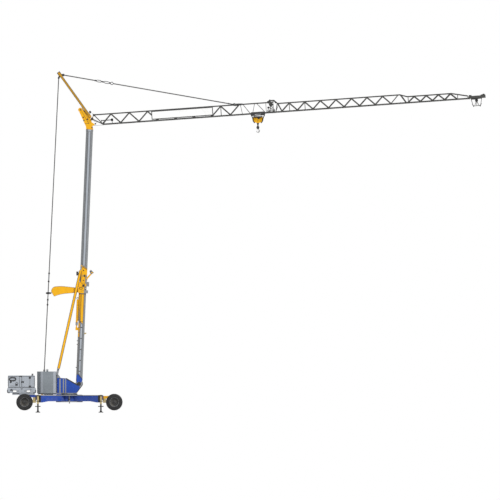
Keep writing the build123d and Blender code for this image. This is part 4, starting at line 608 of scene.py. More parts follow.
def wheel_fittings(name):
    """A ring of wheel nuts, a hub cap and a bright rim ring on the outer side of one wheel."""
    node = f"rim_{name}"
    x, y, z = middle(node)
    out = np.sign(y)
    axis = (0, out, 0)
    face = np.abs([low_corner(node)[1], high_corner(node)[1]]).max()
    places = bolt_circle(x, z, NUT_CIRCLE, NUT_COUNT, y + out * DISC_OUT)
    nuts = bolt_heads(places, axis, NUT_RADIUS, NUT_HEIGHT)
    cap = turned(CAP_PROFILE, (x, out * (face - CAP_BACK), z), axis)
    put(f"wheel_nuts_{name}", nuts + [cap], body=f"wheel_{name}")
    ring = hoop(x, z, RIM_RING, RIM_RING, RIM_TUBE, out * (face - RIM_BACK), 2, 64)
    put(f"rim_ring_{name}", [ring], "steel_grey", f"wheel_{name}")


# Generator: its sides are drawn as x, z and sizes, each piece standing out from the door or the skid

DOOR_Y = 0.49
SKID_Y = 0.475
GENERATOR_X = -3.001
HANDLE = (-3.565, 2.105, 0.19, 0.095, 0.036)
KNOB = (-3.68, 1.924, 0.06)
LOCK = (-3.32, 1.75, 0.14, 0.1)
LOCK_LOOP = (-3.3, 1.83, 0.075, 0.055, 0.013)
LATCHES = ((-2.992, 1.924, 0.08, 0.1), (-2.897, 1.924, 0.08, 0.1))
HINGES = ((-2.482, 2.193, 0.12, 0.12), (-2.482, 1.637, 0.12, 0.12))
HOUSING_EDGES = ((-3.84, -2.18, 2.283, 0.022), (-3.84, -2.18, 1.583, 0.022))
HOUSING_CORNERS = ((-3.822, 1.6, 2.27, 0.022), (-2.2, 1.6, 2.27, 0.018))
DOOR_SEAMS = ((-3.12, 1.62, 2.25, 0.016), (-3.0, 1.62, 2.25, 0.016), (-2.482, 1.68, 2.15, 0.012))
POST_CAP = (-3.06, 2.282, 0.15, 0.075)
MIDDLE_POST = (-3.06, 1.6, 2.25, 0.09)
VENT_ENDS, VENT_HEIGHTS, VENT_WIDTH = (-3.74, -3.44), (1.66, 1.69, 1.72), 0.012
RIVET_ENDS, RIVET_COUNT, RIVET_HEIGHTS = (-3.76, -2.26), 14, (1.63, 2.235)
LOUVRE_ENDS, LOUVRE_HALF, LOUVRE_STEP = (-3.862, -2.163), 0.36, 0.065
EXHAUST_X = -2.324
EXHAUST = ((0.05, 2.33), (0.06, 2.335), (0.06, 2.365), (0.05, 2.37), (0.05, 2.405), (0.056, 2.41),
           (0.056, 2.42))
FLAP = ((0.03, 0), (0.058, 0.006), (0.058, 0.012), (0.03, 0.02))
FLAP_PLACE, FLAP_TURN = (-2.318, 0, 2.43), 0.3


def generator_trim():
    """Handle, knob, latches, hinges, seams and louvres of the generator, the same on both sides."""
    seam = DOOR_Y + 0.012
    dark = [hoop(*HANDLE, DOOR_Y + 0.016, 3), pin(*KNOB, DOOR_Y, DOOR_Y + 0.035),
            board(*LOCK, DOOR_Y, DOOR_Y + 0.03), hoop(*LOCK_LOOP, DOOR_Y + 0.008)]
    dark += [board(*latch, DOOR_Y, DOOR_Y + 0.022) for latch in LATCHES]
    dark += [board(*hinge, DOOR_Y, DOOR_Y + 0.02) for hinge in HINGES]
    dark += [level(*edge, SKID_Y, SKID_Y + 0.01) for edge in HOUSING_EDGES]
    dark += [upright(*corner, SKID_Y, SKID_Y + 0.022) for corner in HOUSING_CORNERS]
    dark += [upright(*line, DOOR_Y, seam) for line in DOOR_SEAMS] + [board(*POST_CAP, DOOR_Y, seam)]
    put("generator_dark_trim", mirrored(dark), body="chassis", bevel=0.003)
    light = [upright(*MIDDLE_POST, DOOR_Y, DOOR_Y + 0.008)]
    light += [level(*VENT_ENDS, z, VENT_WIDTH, DOOR_Y, DOOR_Y + 0.006) for z in VENT_HEIGHTS]
    put("generator_panels", mirrored(light), "generator_grey", "chassis", bevel=0.002)
    rivets = np.array([(x, DOOR_Y, z) for x in np.linspace(*RIVET_ENDS, RIVET_COUNT) for z in RIVET_HEIGHTS])
    put("generator_rivets", mirrored(bolt_heads(rivets, (0, 1, 0), 0.011, 0.006)), "steel_grey", "chassis")
    slats = [straight((x, -LOUVRE_HALF, z), (x, LOUVRE_HALF, z), rectangle(0.012, 0.05), (1, 0, 0.6))
             for x in LOUVRE_ENDS for z in np.arange(1.7, 2.2, LOUVRE_STEP)]
    put("generator_louvres", slats, body="chassis")
    flap = leaned([turned(FLAP, (0, 0, 0), UP)], FLAP_PLACE, FLAP_TURN)
    put("exhaust_sleeve", [turned(EXHAUST, (EXHAUST_X, 0, 0), UP)] + flap, body="chassis")


BUMPER_X, BUMPER_Z, BUMPER_BEND = -3.83, 1.305, 0.062
BUMPER_TOP, BUMPER_END = 1.43, -3.74
LAMP_X, LAMP_Z, LAMP_RADIUS = -3.637, 1.385, 0.09
POCKETS, POCKET_RIM = (-3.432, -2.572), (1.341, 0.125, 0.066, 0.011)
SKID_BITS = ((-3.22, 1.36, 0.05), (-3.0, 1.49, 0.11), (-2.78, 1.36, 0.05), (-2.42, 1.45, 0.04))
SKID_LINE = (-3.577, -3.137, 1.19, 0.035)


def skid_trim():
    """Rounded bumpers, pocket rims, lamp and small fittings on the generator's base."""
    a = np.linspace(np.pi, 1.5 * np.pi, 9)
    x, z = BUMPER_X + BUMPER_BEND * np.cos(a), BUMPER_Z + BUMPER_BEND * np.sin(a)
    bend = np.stack([x, np.full(9, SKID_Y), z], -1)
    top = (BUMPER_X - BUMPER_BEND, SKID_Y, BUMPER_TOP)
    end = (BUMPER_END, SKID_Y, BUMPER_Z - BUMPER_BEND)
    rear = np.concatenate([[top], bend, [end]])
    front = rear * [-1, 1, 1] + [2 * GENERATOR_X, 0, 0]
    bumpers = [along_path(path, rectangle(0.03, 0.05)) for path in (rear, front)]
    turn = np.linspace(0, np.pi, 13)
    half_disc = LAMP_RADIUS * np.stack([np.cos(turn), np.sin(turn)], -1) + [LAMP_X, LAMP_Z]
    lamp = slab(half_disc, SKID_Y, SKID_Y + 0.025)
    rims = [hoop(x, *POCKET_RIM, SKID_Y + 0.004, 4) for x in POCKETS]
    bits = [board(x, z, width, 0.04, SKID_Y, SKID_Y + 0.02) for x, z, width in SKID_BITS]
    line = level(*SKID_LINE, 0.455, 0.462)
    put("skid_trim", mirrored(bumpers + [lamp] + rims + bits + [line]), body="chassis")


# Chassis

BASE_TOP = 1.118
GEAR_TEETH, TOOTH_ROOT, TOOTH_HEIGHT, GEAR_BACK = 110, 0.495, 0.011, 0.48
GEAR_LOW, GEAR_HIGH = 0.003, 0.038
TURNING_BAND = (0.495, 0.507, 1.165, 1.199)
SCRAPER = (0.05, 1.183, 0.36, 0.034, 0.46, 0.53)
BASE_BOLTS = ((0.6, 36), (0.74, 28))
DRAIN_KNOB = ((0.02, 0.653), (0.02, 0.63), (0.04, 0.615), (0.042, 0.59), (0.02, 0.572))
HUB_SPOT = (-0.03, 0.83, 0.056, 0.6, 0.64)


def slewing_trim():
    """Toothed band on the fixed race (a square wave of the angle), dark band on the turning one, bolts."""
    a = np.linspace(0, 2 * np.pi, 6 * GEAR_TEETH, endpoint=False)
    tips = TOOTH_ROOT + TOOTH_HEIGHT * (np.sin(GEAR_TEETH * a) > 0)
    back = np.full_like(tips, GEAR_BACK)
    rows = ((back, GEAR_LOW), (tips, GEAR_LOW), (tips, GEAR_HIGH), (back, GEAR_HIGH))
    rings = [np.stack([r * np.cos(a), r * np.sin(a), np.full_like(a, BASE_TOP + h)], -1) for r, h in rows]
    teeth = (np.concatenate(rings), [grid_faces(len(rows), len(a), True, True)])
    put("slewing_teeth", [teeth], body="chassis")
    put("slewing_band", [turned_ring(flat_ring(*TURNING_BAND), (0, 0, 0), UP, 72)])
    put("slewing_scraper", mirrored([board(*SCRAPER)]), "steel_grey", bevel=0.004)
    bolts = []
    for radius, count in BASE_BOLTS:
        bolts += bolt_heads(np.insert(circle(radius, count), 2, BASE_TOP, axis=1), UP, 0.017, 0.012)
    put("base_bolts", bolts, body="chassis")
    knob = turned(DRAIN_KNOB, (0.006, 0.6, 0), UP)
    put("hub_knobs", mirrored([knob, pin(*HUB_SPOT)]), body="chassis")


BRACKET_LOW, BRACKET_HIGH = 0.697, 1.099
BOW_START, BOW_SWELL, BOW_HALF, BOW_STEPS = 0.075, 0.085, 0.19, 17
BRACKET_CAP = (0.067, 0.115, 1.05, 1.095)
BRACKET_COLLAR = (0.067, 0.095, 0.7, 0.735)
BRACKET_BACK = 0.1
GRIP_REACH, GRIP_Z, GRIP_RADIUS = 0.15, 0.389, 0.027
RIB_INNER, RIB_OUTER = (0.05, 0.06), (0.13, 0.04)


def jack_trim(name):
    """Side bows and top cap of one jack bracket, and the grips and ribs of its leg."""
    x, y, _ = middle(f"jack_leg_{name}")
    foot = np.array([x, y, 0])
    t = np.linspace(-1, 1, BOW_STEPS)
    swell = BOW_START + BOW_SWELL * np.sqrt(1 - t ** 4)
    height = (BRACKET_LOW + BRACKET_HIGH) / 2 + BOW_HALF * t
    bows = [along_path(np.stack([x + side * swell, np.full(BOW_STEPS, y), height], -1), rectangle(0.05, 0.04))
            for side in (-1, 1)]
    rings = [turned_ring(flat_ring(*sizes), foot, UP) for sizes in (BRACKET_CAP, BRACKET_COLLAR)]
    inward = np.array([-np.sign(x), -np.sign(y), 0]) / math.sqrt(2)
    wide = np.array([inward[1], -inward[0], 0])
    inner = foot + inward * BRACKET_BACK
    low, high = inner + [0, 0, BRACKET_LOW - 0.03], inner + [0, 0, BRACKET_HIGH]
    back = straight(low, high, rectangle(0.26, 0.03), wide)
    piece = put(f"jack_bracket_{name}", bows + rings + [back], body="chassis")
    ends = [ball((x + side * GRIP_REACH, y, GRIP_Z), GRIP_RADIUS) for side in (-1, 1)]
    ribs = []
    for c, s in ((1, 0), (-1, 0), (0, 1), (0, -1)):
        start, end = [foot + [reach * c, reach * s, z] for reach, z in (RIB_INNER, RIB_OUTER)]
        ribs.append(straight(start, end, rectangle(0.012, 0.05), UP))
    put(f"jack_fittings_{name}", ends + ribs, body=f"jack_{name}")
    return piece


AXLE_X = JOINTS["wheel_front_left_spin"]["pos_m"][0]
SPRING_Y = 0.35
LEAF_HALVES, LEAF_Z, LEAF_STEP, LEAF_SAG = (0.42, 0.33, 0.24), 0.786, 0.014, 0.004
CLAMP = ((0.3, 0.66), (0.3, 0.835), (0.4, 0.835), (0.4, 0.66))
CLAMP_REACH = 0.07


def springs():
    """Leaves stacked over each spring, each shorter than the one below it, and two clamps round them."""
    t = np.linspace(-1, 1, 13)
    leaves, clamps = [], []
    for x in (-AXLE_X, AXLE_X):
        for i, half in enumerate(LEAF_HALVES):
            z = LEAF_Z + LEAF_STEP * i - LEAF_SAG * t * t
            path = np.stack([x + half * t, np.full(13, SPRING_Y), z], -1)
            leaves.append(along_path(path, rectangle(0.07, 0.012)))
        for side in (-CLAMP_REACH, CLAMP_REACH):
            clamps.append(along_path([(x + side, y, z) for y, z in CLAMP], circle(0.01, 8), (1, 0, 0)))
    put("spring_leaves", mirrored(leaves + clamps), body="chassis")


# Platform and mast foot

CHEEK_Y = 0.36
CHEEK_EDGES = (((-0.205, 2.14), (0.556, 1.706), 0.07, 0.296, 0.368),
               ((-0.785, 2.18), (-0.195, 2.141), 0.018, 0.296, 0.366))
CHEEK_REAR = (-0.807, 1.8, 0.038, 1.13, 0.3, 0.35)
CHEEK_FRONT = ((0.66, 1.55), (0.45, 1.24), 0.02, 0.296, 0.364)
TRAY_SPOT = (-1.386, 1.15, 0.05, 0.05, 0.6, 0.612)
CHEEK_POST = (0.03, 0.042, 1.237, 2.173, 0.008)
CHEEK_POST_X = -0.72
TRAY_EDGE = (-0.778, 1.155, 0.526, 0.05, 0.59, 0.608)
TRAY_SKIRT = (-1.32, 1.153, 0.6, 0.09, 0.598, 0.606)
TRAY_MARKER = (-1.716, 1.15, 0.12, 0.08, 0.6, 0.612)
WEIGHT_CORNERS = (((-1.799, 0.9), (-1.655, 1.044)), ((-1.01, 1.05), (-0.86, 0.9)))
WEIGHT_LOW, WEIGHT_HIGH = 1.215, 2.57
CORNER_PLATE = 0.004
SHACKLE_X = -1.388
CLEVIS = ((-0.8, 2.31), (-0.69, 2.78), 0.14)
CLEVIS_PINS = ((-0.78, 2.35), (-0.7, 2.7))


def platform_trim():
    """Edges, cap and fittings of the slewing platform, and thin plates on the counterweight's chamfered corners in
    a lighter grey, a painted highlight for the light on those faces.
    """
    dark = [strip(*edge) for edge in CHEEK_EDGES]
    dark += [board(*CHEEK_REAR), strip(*CHEEK_FRONT), board(*TRAY_SPOT)]
    put("cheek_edges", mirrored(dark), bevel=0.003)
    post = turned(barrel(*CHEEK_POST), (CHEEK_POST_X, CHEEK_Y, 0), UP, 20)
    put("cheek_posts", mirrored([post, board(*TRAY_EDGE)]), "chassis_blue")
    put("tray_skirt", mirrored([board(*TRAY_SKIRT)]), "steel_grey", bevel=0.003)
    put("tray_marker", mirrored([board(*TRAY_MARKER)]), "crane_yellow", bevel=0.003)
    # Painted highlight: thin plates on the chamfered corners, lighter grey than the concrete, standing in for the
    # light on those faces.
    corners = []
    for plan in np.array(WEIGHT_CORNERS):
        out = np.array([-np.sign(plan[1] - plan[0])[1], 1]) / math.sqrt(2) * CORNER_PLATE
        plan = np.concatenate([plan - out, plan[::-1] + out])
        rings = [np.insert(plan, 2, z, axis=1) for z in (WEIGHT_LOW, WEIGHT_HIGH)]
        corners.append(closed_rows(np.stack(rings)))
    put("counterweight_corner_highlights", mirrored(corners), "generator_grey")
    shackle = [hoop(SHACKLE_X, 2.66, 0.05, 0.06, 0.014, 0.59, 2.4), pin(SHACKLE_X, 2.61, 0.018, 0.55, 0.63)]
    put("lifting_shackles", mirrored(shackle))
    clevis = [strip(*CLEVIS, y, y + 0.014) for y in (0.26, 0.386)]
    put("clevis_plates", mirrored(clevis), "steel_grey", bevel=0.003)
    put("clevis_pins", mirrored([pin(x, z, 0.035, 0.25, 0.412) for x, z in CLEVIS_PINS]))


FORK_Y = 0.3
FOOT_COVER = ((0.45, 1.89), (0.45, 2.32), (0.52, 2.4), (0.8, 2.09), (0.79, 1.97), (0.7, 1.86))
FOOT_CAP, FOOT_CAP_INNER, FOOT_CAP_OUTER = 0.116, 0.37, 0.388
FOOT_BOLT_CIRCLE, FOOT_BOLTS = 0.085, 8
FORK_ROUND, FORK_EDGE_Y, FORK_EDGE_END = 0.224, 0.275, (0.47, 0.275, 1.25)
FOOT_SLOPE = ((0.527, 2.44), (0.825, 2.09), 0.028, 0.2, 0.256)


def foot_trim():
    """Cover plate, pin cap and edges where the mast stands in its fork."""
    put("foot_cover", mirrored([slab(FOOT_COVER, FORK_Y, FORK_Y + 0.006)]), "chassis_blue")
    x, _, z = FOOT_PIN
    cap = pin(x, z, FOOT_CAP, FOOT_CAP_INNER, FOOT_CAP_OUTER, 40)
    places = bolt_circle(x, z, FOOT_BOLT_CIRCLE, FOOT_BOLTS, FOOT_CAP_OUTER)
    bolts = bolt_heads(places, (0, 1, 0), 0.013, 0.012)
    a = np.linspace(math.radians(28), math.radians(-42), 12)
    curve = np.stack([x + FORK_ROUND * np.cos(a), np.full(12, FORK_EDGE_Y), z + FORK_ROUND * np.sin(a)], -1)
    edge = along_path(np.concatenate([curve, [FORK_EDGE_END]]), rectangle(0.058, 0.034))
    put("foot_trim", mirrored([cap, edge, strip(*FOOT_SLOPE)] + bolts))


# Mast: heights are along its axis, from the foot pin up

SLOT_START, SLOT_STEP, SLOT_COUNT, SLOT_HEIGHT = 0.772, 0.69, 5, 0.034
LOWER_ENDS, LOWER_Y = (0.62, 3.73), 0.2
UPPER_ENDS, UPPER_Y = (7.42, 15.84), 0.216
# Places and width of the dark lines beside the mast's pale strips; these lines are painted shade.
LOWER_SHADE_LINE, UPPER_SHADE_LINE, SHADE_LINE_WIDTH = 0.071, 0.077, 0.022
PEGS, PEG_START, PEG_END = (1.017, 2.462, 2.69), -0.19, -0.255
GUIDE_STOP = (0, 15.92, 0.17, 0.1, 0.224, 0.232)
MAST_WEDGE = ((0.92, 5.03), (1.09, 5.0), (1.05, 4.95), (0.92, 4.9))


def mast_trim():
    """Pale strips on the mast's side flats, broken at the slots, as a painted highlight; dark lines beside them
    and a dark sheet inside the mast as painted shade; a pale stop and the pegs.
    """
    slots = SLOT_START + SLOT_STEP * np.arange(SLOT_COUNT)
    starts = np.concatenate([LOWER_ENDS[:1], slots + SLOT_HEIGHT])
    ends = np.concatenate([slots - SLOT_HEIGHT, LOWER_ENDS[1:]])
    # Painted highlight: pale strips on the side flats stand in for the light on the flat that faces it; they break
    # at the slots.
    pale = [upright(0, low, high, 0.115, LOWER_Y, LOWER_Y + 0.008) for low, high in zip(starts, ends)]
    pale += [upright(0, *UPPER_ENDS, 0.128, UPPER_Y, UPPER_Y + 0.008), board(*GUIDE_STOP)]
    put("mast_highlight_strips_and_stop", on_mast(mirrored(pale)), "generator_grey")
    # Painted shade: dark lines along both sides of each pale strip.
    shade_lines = [upright(x, *LOWER_ENDS, SHADE_LINE_WIDTH, LOWER_Y, LOWER_Y + 0.01) for x in (-LOWER_SHADE_LINE, LOWER_SHADE_LINE)]
    shade_lines += [upright(x, *UPPER_ENDS, SHADE_LINE_WIDTH, UPPER_Y, UPPER_Y + 0.01) for x in (-UPPER_SHADE_LINE, UPPER_SHADE_LINE)]
    pegs = [straight((PEG_START, 0, s), (PEG_END, 0, s), circle(0.024, 12)) for s in PEGS]
    # Painted shade: a dark sheet inside the mast, seen through its slots as shade.
    slot_shade_sheet = [upright(0, 0.7, 3.7, 0.09, -0.02, 0.02)]
    put("mast_shade_lines_and_pegs", on_mast(mirrored(shade_lines) + pegs + slot_shade_sheet))
    put("mast_wedge", [slab(MAST_WEDGE, -0.05, 0.05)], "jack_beige", bevel=0.005)


SKIRT_SIDES, SKIRT_ENDS = (0.08, -0.086), (3.8, 5.62)
SKIRT_BARS, SKIRT_BAR_HEIGHTS = (-0.09, 0.085), (3.9, 5.62)
SKIRT_FACE, SKIRT_OUT = 0.222, 0.229
CYLINDER_X, CYLINDER_LUGS = -0.309, (3.8, 5.36)
CYLINDER_CAP = (0.06, 0.07, 3.66, 3.83, 0.01)
SKIRT_BACK = (-0.18, 4.83, 0.16, 1.78, -0.05, 0.05)


def skirt_trim():
    """Dark edges of the guide skirt, the cap and end lugs of the climbing cylinder, and a darker ochre plate
    behind the skirt, painted shade for its rear side.
    """
    edges = [upright(x, *SKIRT_ENDS, 0.02, SKIRT_FACE, SKIRT_OUT) for x in SKIRT_SIDES]
    edges += [level(*SKIRT_BARS, s, 0.02, SKIRT_FACE, SKIRT_OUT) for s in SKIRT_BAR_HEIGHTS]
    lugs = [hoop(CYLINDER_X, s, 0.06, 0.05, 0.016, 0, 2.2) for s in CYLINDER_LUGS]
    put("skirt_edges", on_mast(mirrored(edges) + lugs))
    put("cylinder_cap", on_mast([turned(barrel(*CYLINDER_CAP), (CYLINDER_X, 0, 0), UP)]), "steel_grey")
    # Painted shade: a darker ochre plate behind the skirt, standing in for the shade on its rear side.
    put("skirt_back_shade", on_mast([board(*SKIRT_BACK)]), "strut_ochre", bevel=0.004)


COLLAR_Y = 0.25
COLLAR_NUTS = ((0.963, 8.593, 0.1, 0.12), (0.879, 7.977, 0.13, 0.145))
COLLAR_SCREWS = ((0.893, 8.93), (0.879, 8.3))
COLLAR_LOOP = (0.724, 7.809, 0.1, 0.06, 0.014)
BAND_START, BAND_END, BAND_LINES = (-0.14, 7.459), (0.205, 7.235), (0.018, 0.072)
COLLAR_SEAMS = (((0.093, 6.124), (0.103, 6.715)), ((-0.146, 6.32), (-0.146, 6.95)),
                ((-0.149, 5.804), (0.055, 5.85)), ((-0.15, 6.305), (0.068, 6.336)))
SWITCH_BOX = ((0.5, 8.735, 0.13, 0.25, 0.3, 0.36), (0.58, 8.735, 0.09, 0.06, 0.31, 0.35))
COLLAR_RING = (0.85, 8.593, 0.05, 0.05, 0.016)
COLLAR_BIT = (1.0, 7.79, 0.08, 0.06, 0.12, 0.235)
COLLAR_WING = ((0.54, 7.52), (0.54, 7.76), (0.6, 8.2), (0.74, 8.2), (0.74, 7.52))
SADDLE_PAD = (1.43, 8.79, 0.1, 0.08, 0.06, 0.098)
SADDLE_EDGES = (((0.385, 7.102), (0.61, 7.008)), ((0.389, 7.077), (0.495, 6.931)))
STRUT_FOOT, STRUT_TOP, STRUT_EDGE = (-0.687, 2.745), (0.694, 8.898), 0.072


def collar_trim():
    """Nuts, screws, rings and seams on both plates of the mast's collar, and a switch box on the strut."""
    nuts = [board(*nut, COLLAR_Y, COLLAR_Y + 0.03) for nut in COLLAR_NUTS]
    nuts += [pin(x, z, 0.034, COLLAR_Y, COLLAR_Y + 0.016) for x, z in COLLAR_SCREWS]
    nuts += [hoop(*COLLAR_LOOP, COLLAR_Y + 0.008, 2.4)]
    seams = [strip(np.subtract(BAND_START, (0, drop)), np.subtract(BAND_END, (0, drop)), 0.02, 0.262, 0.27)
             for drop in BAND_LINES]
    seams += [strip(start, end, 0.016, COLLAR_Y, COLLAR_Y + 0.006) for start, end in COLLAR_SEAMS]
    box = [board(*sizes) for sizes in SWITCH_BOX]
    put("collar_trim", mirrored(nuts + on_mast(seams) + box), bevel=0.003)
    put("collar_rings", mirrored([hoop(*COLLAR_RING, COLLAR_Y + 0.008), board(*COLLAR_BIT)]), "jack_beige")
    wings = [slab(COLLAR_WING, 0.225, 0.248), board(*SADDLE_PAD)]
    put("collar_wings", mirrored(wings), "crane_yellow", bevel=0.003)
    saddle = [strip(start, end, 0.028, 0.07, 0.099) for start, end in SADDLE_EDGES]
    put("saddle_edges", on_mast(mirrored(saddle)))
    lines = [strip(STRUT_FOOT, STRUT_TOP, 0.03, 0.376, 0.389, shift) for shift in (-STRUT_EDGE, STRUT_EDGE)]
    put("strut_edges", mirrored(lines))


ARM_TOP_EDGE = ((-1.142, 7.606), (-1.126, 7.72), (-1.06, 7.845), (-0.92, 7.915), (-0.49, 7.938),
                (0.29, 7.858), (0.7, 7.776))
ARM_LOW_EDGE = ((0.7, 7.59), (0.264, 7.52), (-0.335, 7.472), (-0.647, 7.41), (-0.959, 7.3))


def guide_arm():
    """The rope guide's arm: a smooth plate, its edges curves through a few points of its outline."""
    near, far = low_corner("guide_arm")[1], high_corner("guide_arm")[1]
    outline = np.concatenate([eased(ARM_TOP_EDGE), eased(ARM_LOW_EDGE)])
    plate = put("guide_arm_plate", [slab(outline, near, far)], "crane_yellow", bevel=0.008)
    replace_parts(plate, "guide_arm")
    edge = loop(np.insert(outline, 1, far, axis=1), rectangle(0.012, 0.016), (0, 1, 0))
    put("guide_arm_edges", mirrored([edge]))


# Head

HEAD_Y = 0.18
BOSSES = ((0.703, 19.016), (0.873, 18.539), (0.911, 18.35), (1.137, 18.426), (1.425, 17.904))
PIVOT_CAP = (1.419, 18.4443, 0.08, 0.26, 0.284)
HEAD_SEAM = (0.963, 1.219, 18.15, 0.018)
STRAP, STRAP_EDGE = ((1.277, 18.147), (0.723, 19.153)), 0.055
APEX_LEG, APEX_LEG_EDGE = ((1.2, 18.725), (-0.52, 21.13)), 0.064
CABLE_X, CABLE_REACH, CABLE_Y, CABLE_Z, CABLE_DROP, CABLE_SAG = 1.46, 0.32, 0.27, 18.427, 0.19, 0.03
LIMIT_BALL, LOWER_BALL = (1.3, 0, 18.878), (1.636, 0, 18.137)
HEAD_WEB = ((0.74, 19.1), (0.8, 19.12), (1.26, 18.56), (1.1, 18.5), (0.8, 18.93))
APEX, APEX_WAY = np.array([-0.6, 21.235]), np.array([0.582, -0.813])
APEX_LUGS = ((-0.672, 21.0), (-0.36, 21.2))
BACKSTAY_TOP, STAY_TOP = np.array([-0.672, 21.01]), np.array([-0.38, 21.2013])
ROOT_GUSSET = ((-0.57, 0.55), (-0.57, 0.675), (-0.33, 0.665), (-0.43, 0.54))


def head_trim():
    """Pin caps, seams, limit switch and cable of the mast head, and the plates of the apex."""
    dark = [pin(x, z, 0.044, 0.19, 0.207) for x, z in BOSSES]
    dark += [pin(*PIVOT_CAP), level(*HEAD_SEAM, HEAD_Y, HEAD_Y + 0.005)]
    dark += [strip(*STRAP, 0.014, 0.19, 0.196, shift) for shift in (-STRAP_EDGE, STRAP_EDGE)]
    t = np.linspace(0, 1, 14)
    hang = CABLE_Z - CABLE_DROP * t ** 0.6 - CABLE_SAG * np.sin(np.pi * t)
    cable = np.stack([CABLE_X + CABLE_REACH * t, np.full(14, CABLE_Y), hang], -1)
    dark += [along_path(cable, circle(0.011, 8))]
    dark += [strip(*APEX_LEG, 0.022, 0.235, 0.245, shift) for shift in (-APEX_LEG_EDGE, APEX_LEG_EDGE)]
    arm = [straight((1.29, 0, 18.46), (1.3, 0, 18.86), circle(0.016, 8)), ball(LIMIT_BALL, 0.075),
           ball(LOWER_BALL, 0.05), straight((1.5, 0, 18.106), LOWER_BALL, circle(0.014, 8)),
           straight(LIMIT_BALL, (1.5, 0, 18.74), circle(0.008, 6))]
    put("head_fittings", mirrored(dark) + arm)
    put("head_web", mirrored([slab(HEAD_WEB, 0.165, 0.178)]), "crane_yellow", bevel=0.003)
    head = [strip(APEX - 0.18 * APEX_WAY, APEX + 0.17 * APEX_WAY, 0.21, -0.175, 0.175)]
    head += [strip(APEX, lug, 0.09, -0.13, 0.13) for lug in APEX_LUGS]
    head += [pin(x, z, 0.035, -0.15, 0.15) for x, z in (BACKSTAY_TOP, STAY_TOP)]
    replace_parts(put("apex_block", head, bevel=0.012), "apex_head")
    face = strip(APEX - 0.14 * APEX_WAY, APEX + 0.2 * APEX_WAY, 0.09, 0.17, 0.186)
    put("apex_plates", mirrored([face]), "crane_yellow", bevel=0.004)
    put("root_gusset", on_jib([slab(ROOT_GUSSET, -0.034, 0.034)]), bevel=0.004)


WINCH_Z = 0.235
DRUM_ENDS, DRUM_ROWS, DRUM_RADIUS, DRUM_GROOVE = (-0.06, 0.54), 49, 0.026, 0.004
MOTOR_ENDS, MOTOR_ROWS, MOTOR_RADIUS, MOTOR_FIN = (0.565, 0.68), 17, 0.078, 0.01
MOTOR_NECK = 0.03
FLANGES = (-0.08, 0.535)
WINCH_FEET, FOOT_SIDE = (-0.05, 0.62), 0.06


def ribbed(ends, rows, radius, depth):
    """A profile along an axis whose radius steps up and down from row to row."""
    return [(radius + depth * (i % 2), x) for i, x in enumerate(np.linspace(*ends, rows))]


def winch():
    """The trolley's winch: a thin grooved drum between flanges, a gear case and a ribbed motor."""
    drum = ribbed(DRUM_ENDS, DRUM_ROWS, DRUM_RADIUS, DRUM_GROOVE)
    motor = ribbed(MOTOR_ENDS, MOTOR_ROWS, MOTOR_RADIUS, MOTOR_FIN)
    motor = [(MOTOR_NECK, 0.55)] + motor + [(MOTOR_NECK, 0.69)]
    discs = [barrel(0.03, 0.055, x, x + 0.018, 0.004) for x in FLANGES]
    shapes = [turned(profile, (0, 0, WINCH_Z), (1, 0, 0)) for profile in [drum, motor] + discs]
    for x in WINCH_FEET:
        leg = [(x - 0.02, 0.023), (x + 0.02, 0.023), (x + 0.012, WINCH_Z), (x - 0.012, WINCH_Z)]
        shapes += [slab(leg, y - 0.008, y + 0.008) for y in (-FOOT_SIDE, FOOT_SIDE)]
    bearer = rectangle(0.03, 0.03)
    shapes += [straight((x, -0.38, 0.02), (x, 0.38, 0.02), bearer, (1, 0, 0)) for x in WINCH_FEET]
    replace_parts(put("trolley_winch_detail", on_jib(shapes)), "trolley_winch")


# Stays

STAY_END = np.array([10.454, 19.3268])
STAY_Y = 0.09
STAY_BAR = 0.034
CHAIN_START, CHAIN_END = 2.03, 3.18
CHAIN_BAR = (0.36, 0.58)
CHAIN_LINKS = ((0.235, 0.155, 0.055, 3), (0.735, 0.18, 0.055, 3), (1.06, 0.085, 0.075, 2))
LINK_TUBE = 0.021
CHAIN_KNOTS = (-0.03, 0.41, 0.88)
END_RINGS = (0.5, 0.2)


def on_stay(shapes):
    """Shapes drawn along x from the apex, put on both ties of the jib."""
    angle = -math.atan2(*(STAY_END - STAY_TOP)[::-1])
    shapes = [(points + [0, STAY_Y, 0], faces) for points, faces in shapes]
    return mirrored(leaned(shapes, (STAY_TOP[0], 0, STAY_TOP[1]), angle))


def jib_stay():
    """Two ties of the jib, each a bar, a short chain of open links, and a bar on to the jib."""
    length = np.linalg.norm(STAY_END - STAY_TOP)
    chain_bar = [CHAIN_START + along for along in CHAIN_BAR]
    bars = [straight((x0, 0, 0), (x1, 0, 0), circle(STAY_BAR, 12))
            for x0, x1 in ((0, CHAIN_START), (CHAIN_END, length), chain_bar)]
    links = [hoop(CHAIN_START + x, 0, *half, LINK_TUBE, 0, power) for x, *half, power in CHAIN_LINKS]
    links += [hoop(length - 0.1, 0, 0.07, 0.07, 0.022, 0, 2)]
    knots = [barrel(0.03, 0.046, CHAIN_START + x, CHAIN_START + x + 0.12, 0.02) for x in CHAIN_KNOTS]
    rings = [barrel(0.028, 0.05, length - x, length - x + 0.06, 0.01) for x in END_RINGS]
    sleeves = [turned(profile, (0, 0, 0), (1, 0, 0), 16) for profile in knots + rings]
    eyes = [hoop(x, 0, 0.06, 0.06, 0.024, 0) for x in (0, length)]
    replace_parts(put("jib_stay_bars", on_stay(bars + eyes), "rope_steel"), "jib_stay")
    put("jib_stay_links", on_stay(links + sleeves))


BACKSTAY_FOOT, BACKSTAY_END = np.array([-1.576, STAY_Y, 2.64]), np.array([-0.672, STAY_Y, 21.0103])
BACKSTAY_KNOTS = (6.73, 7.04, 8.19, 8.7)
BACKSTAY_SLEEVE = 8.22


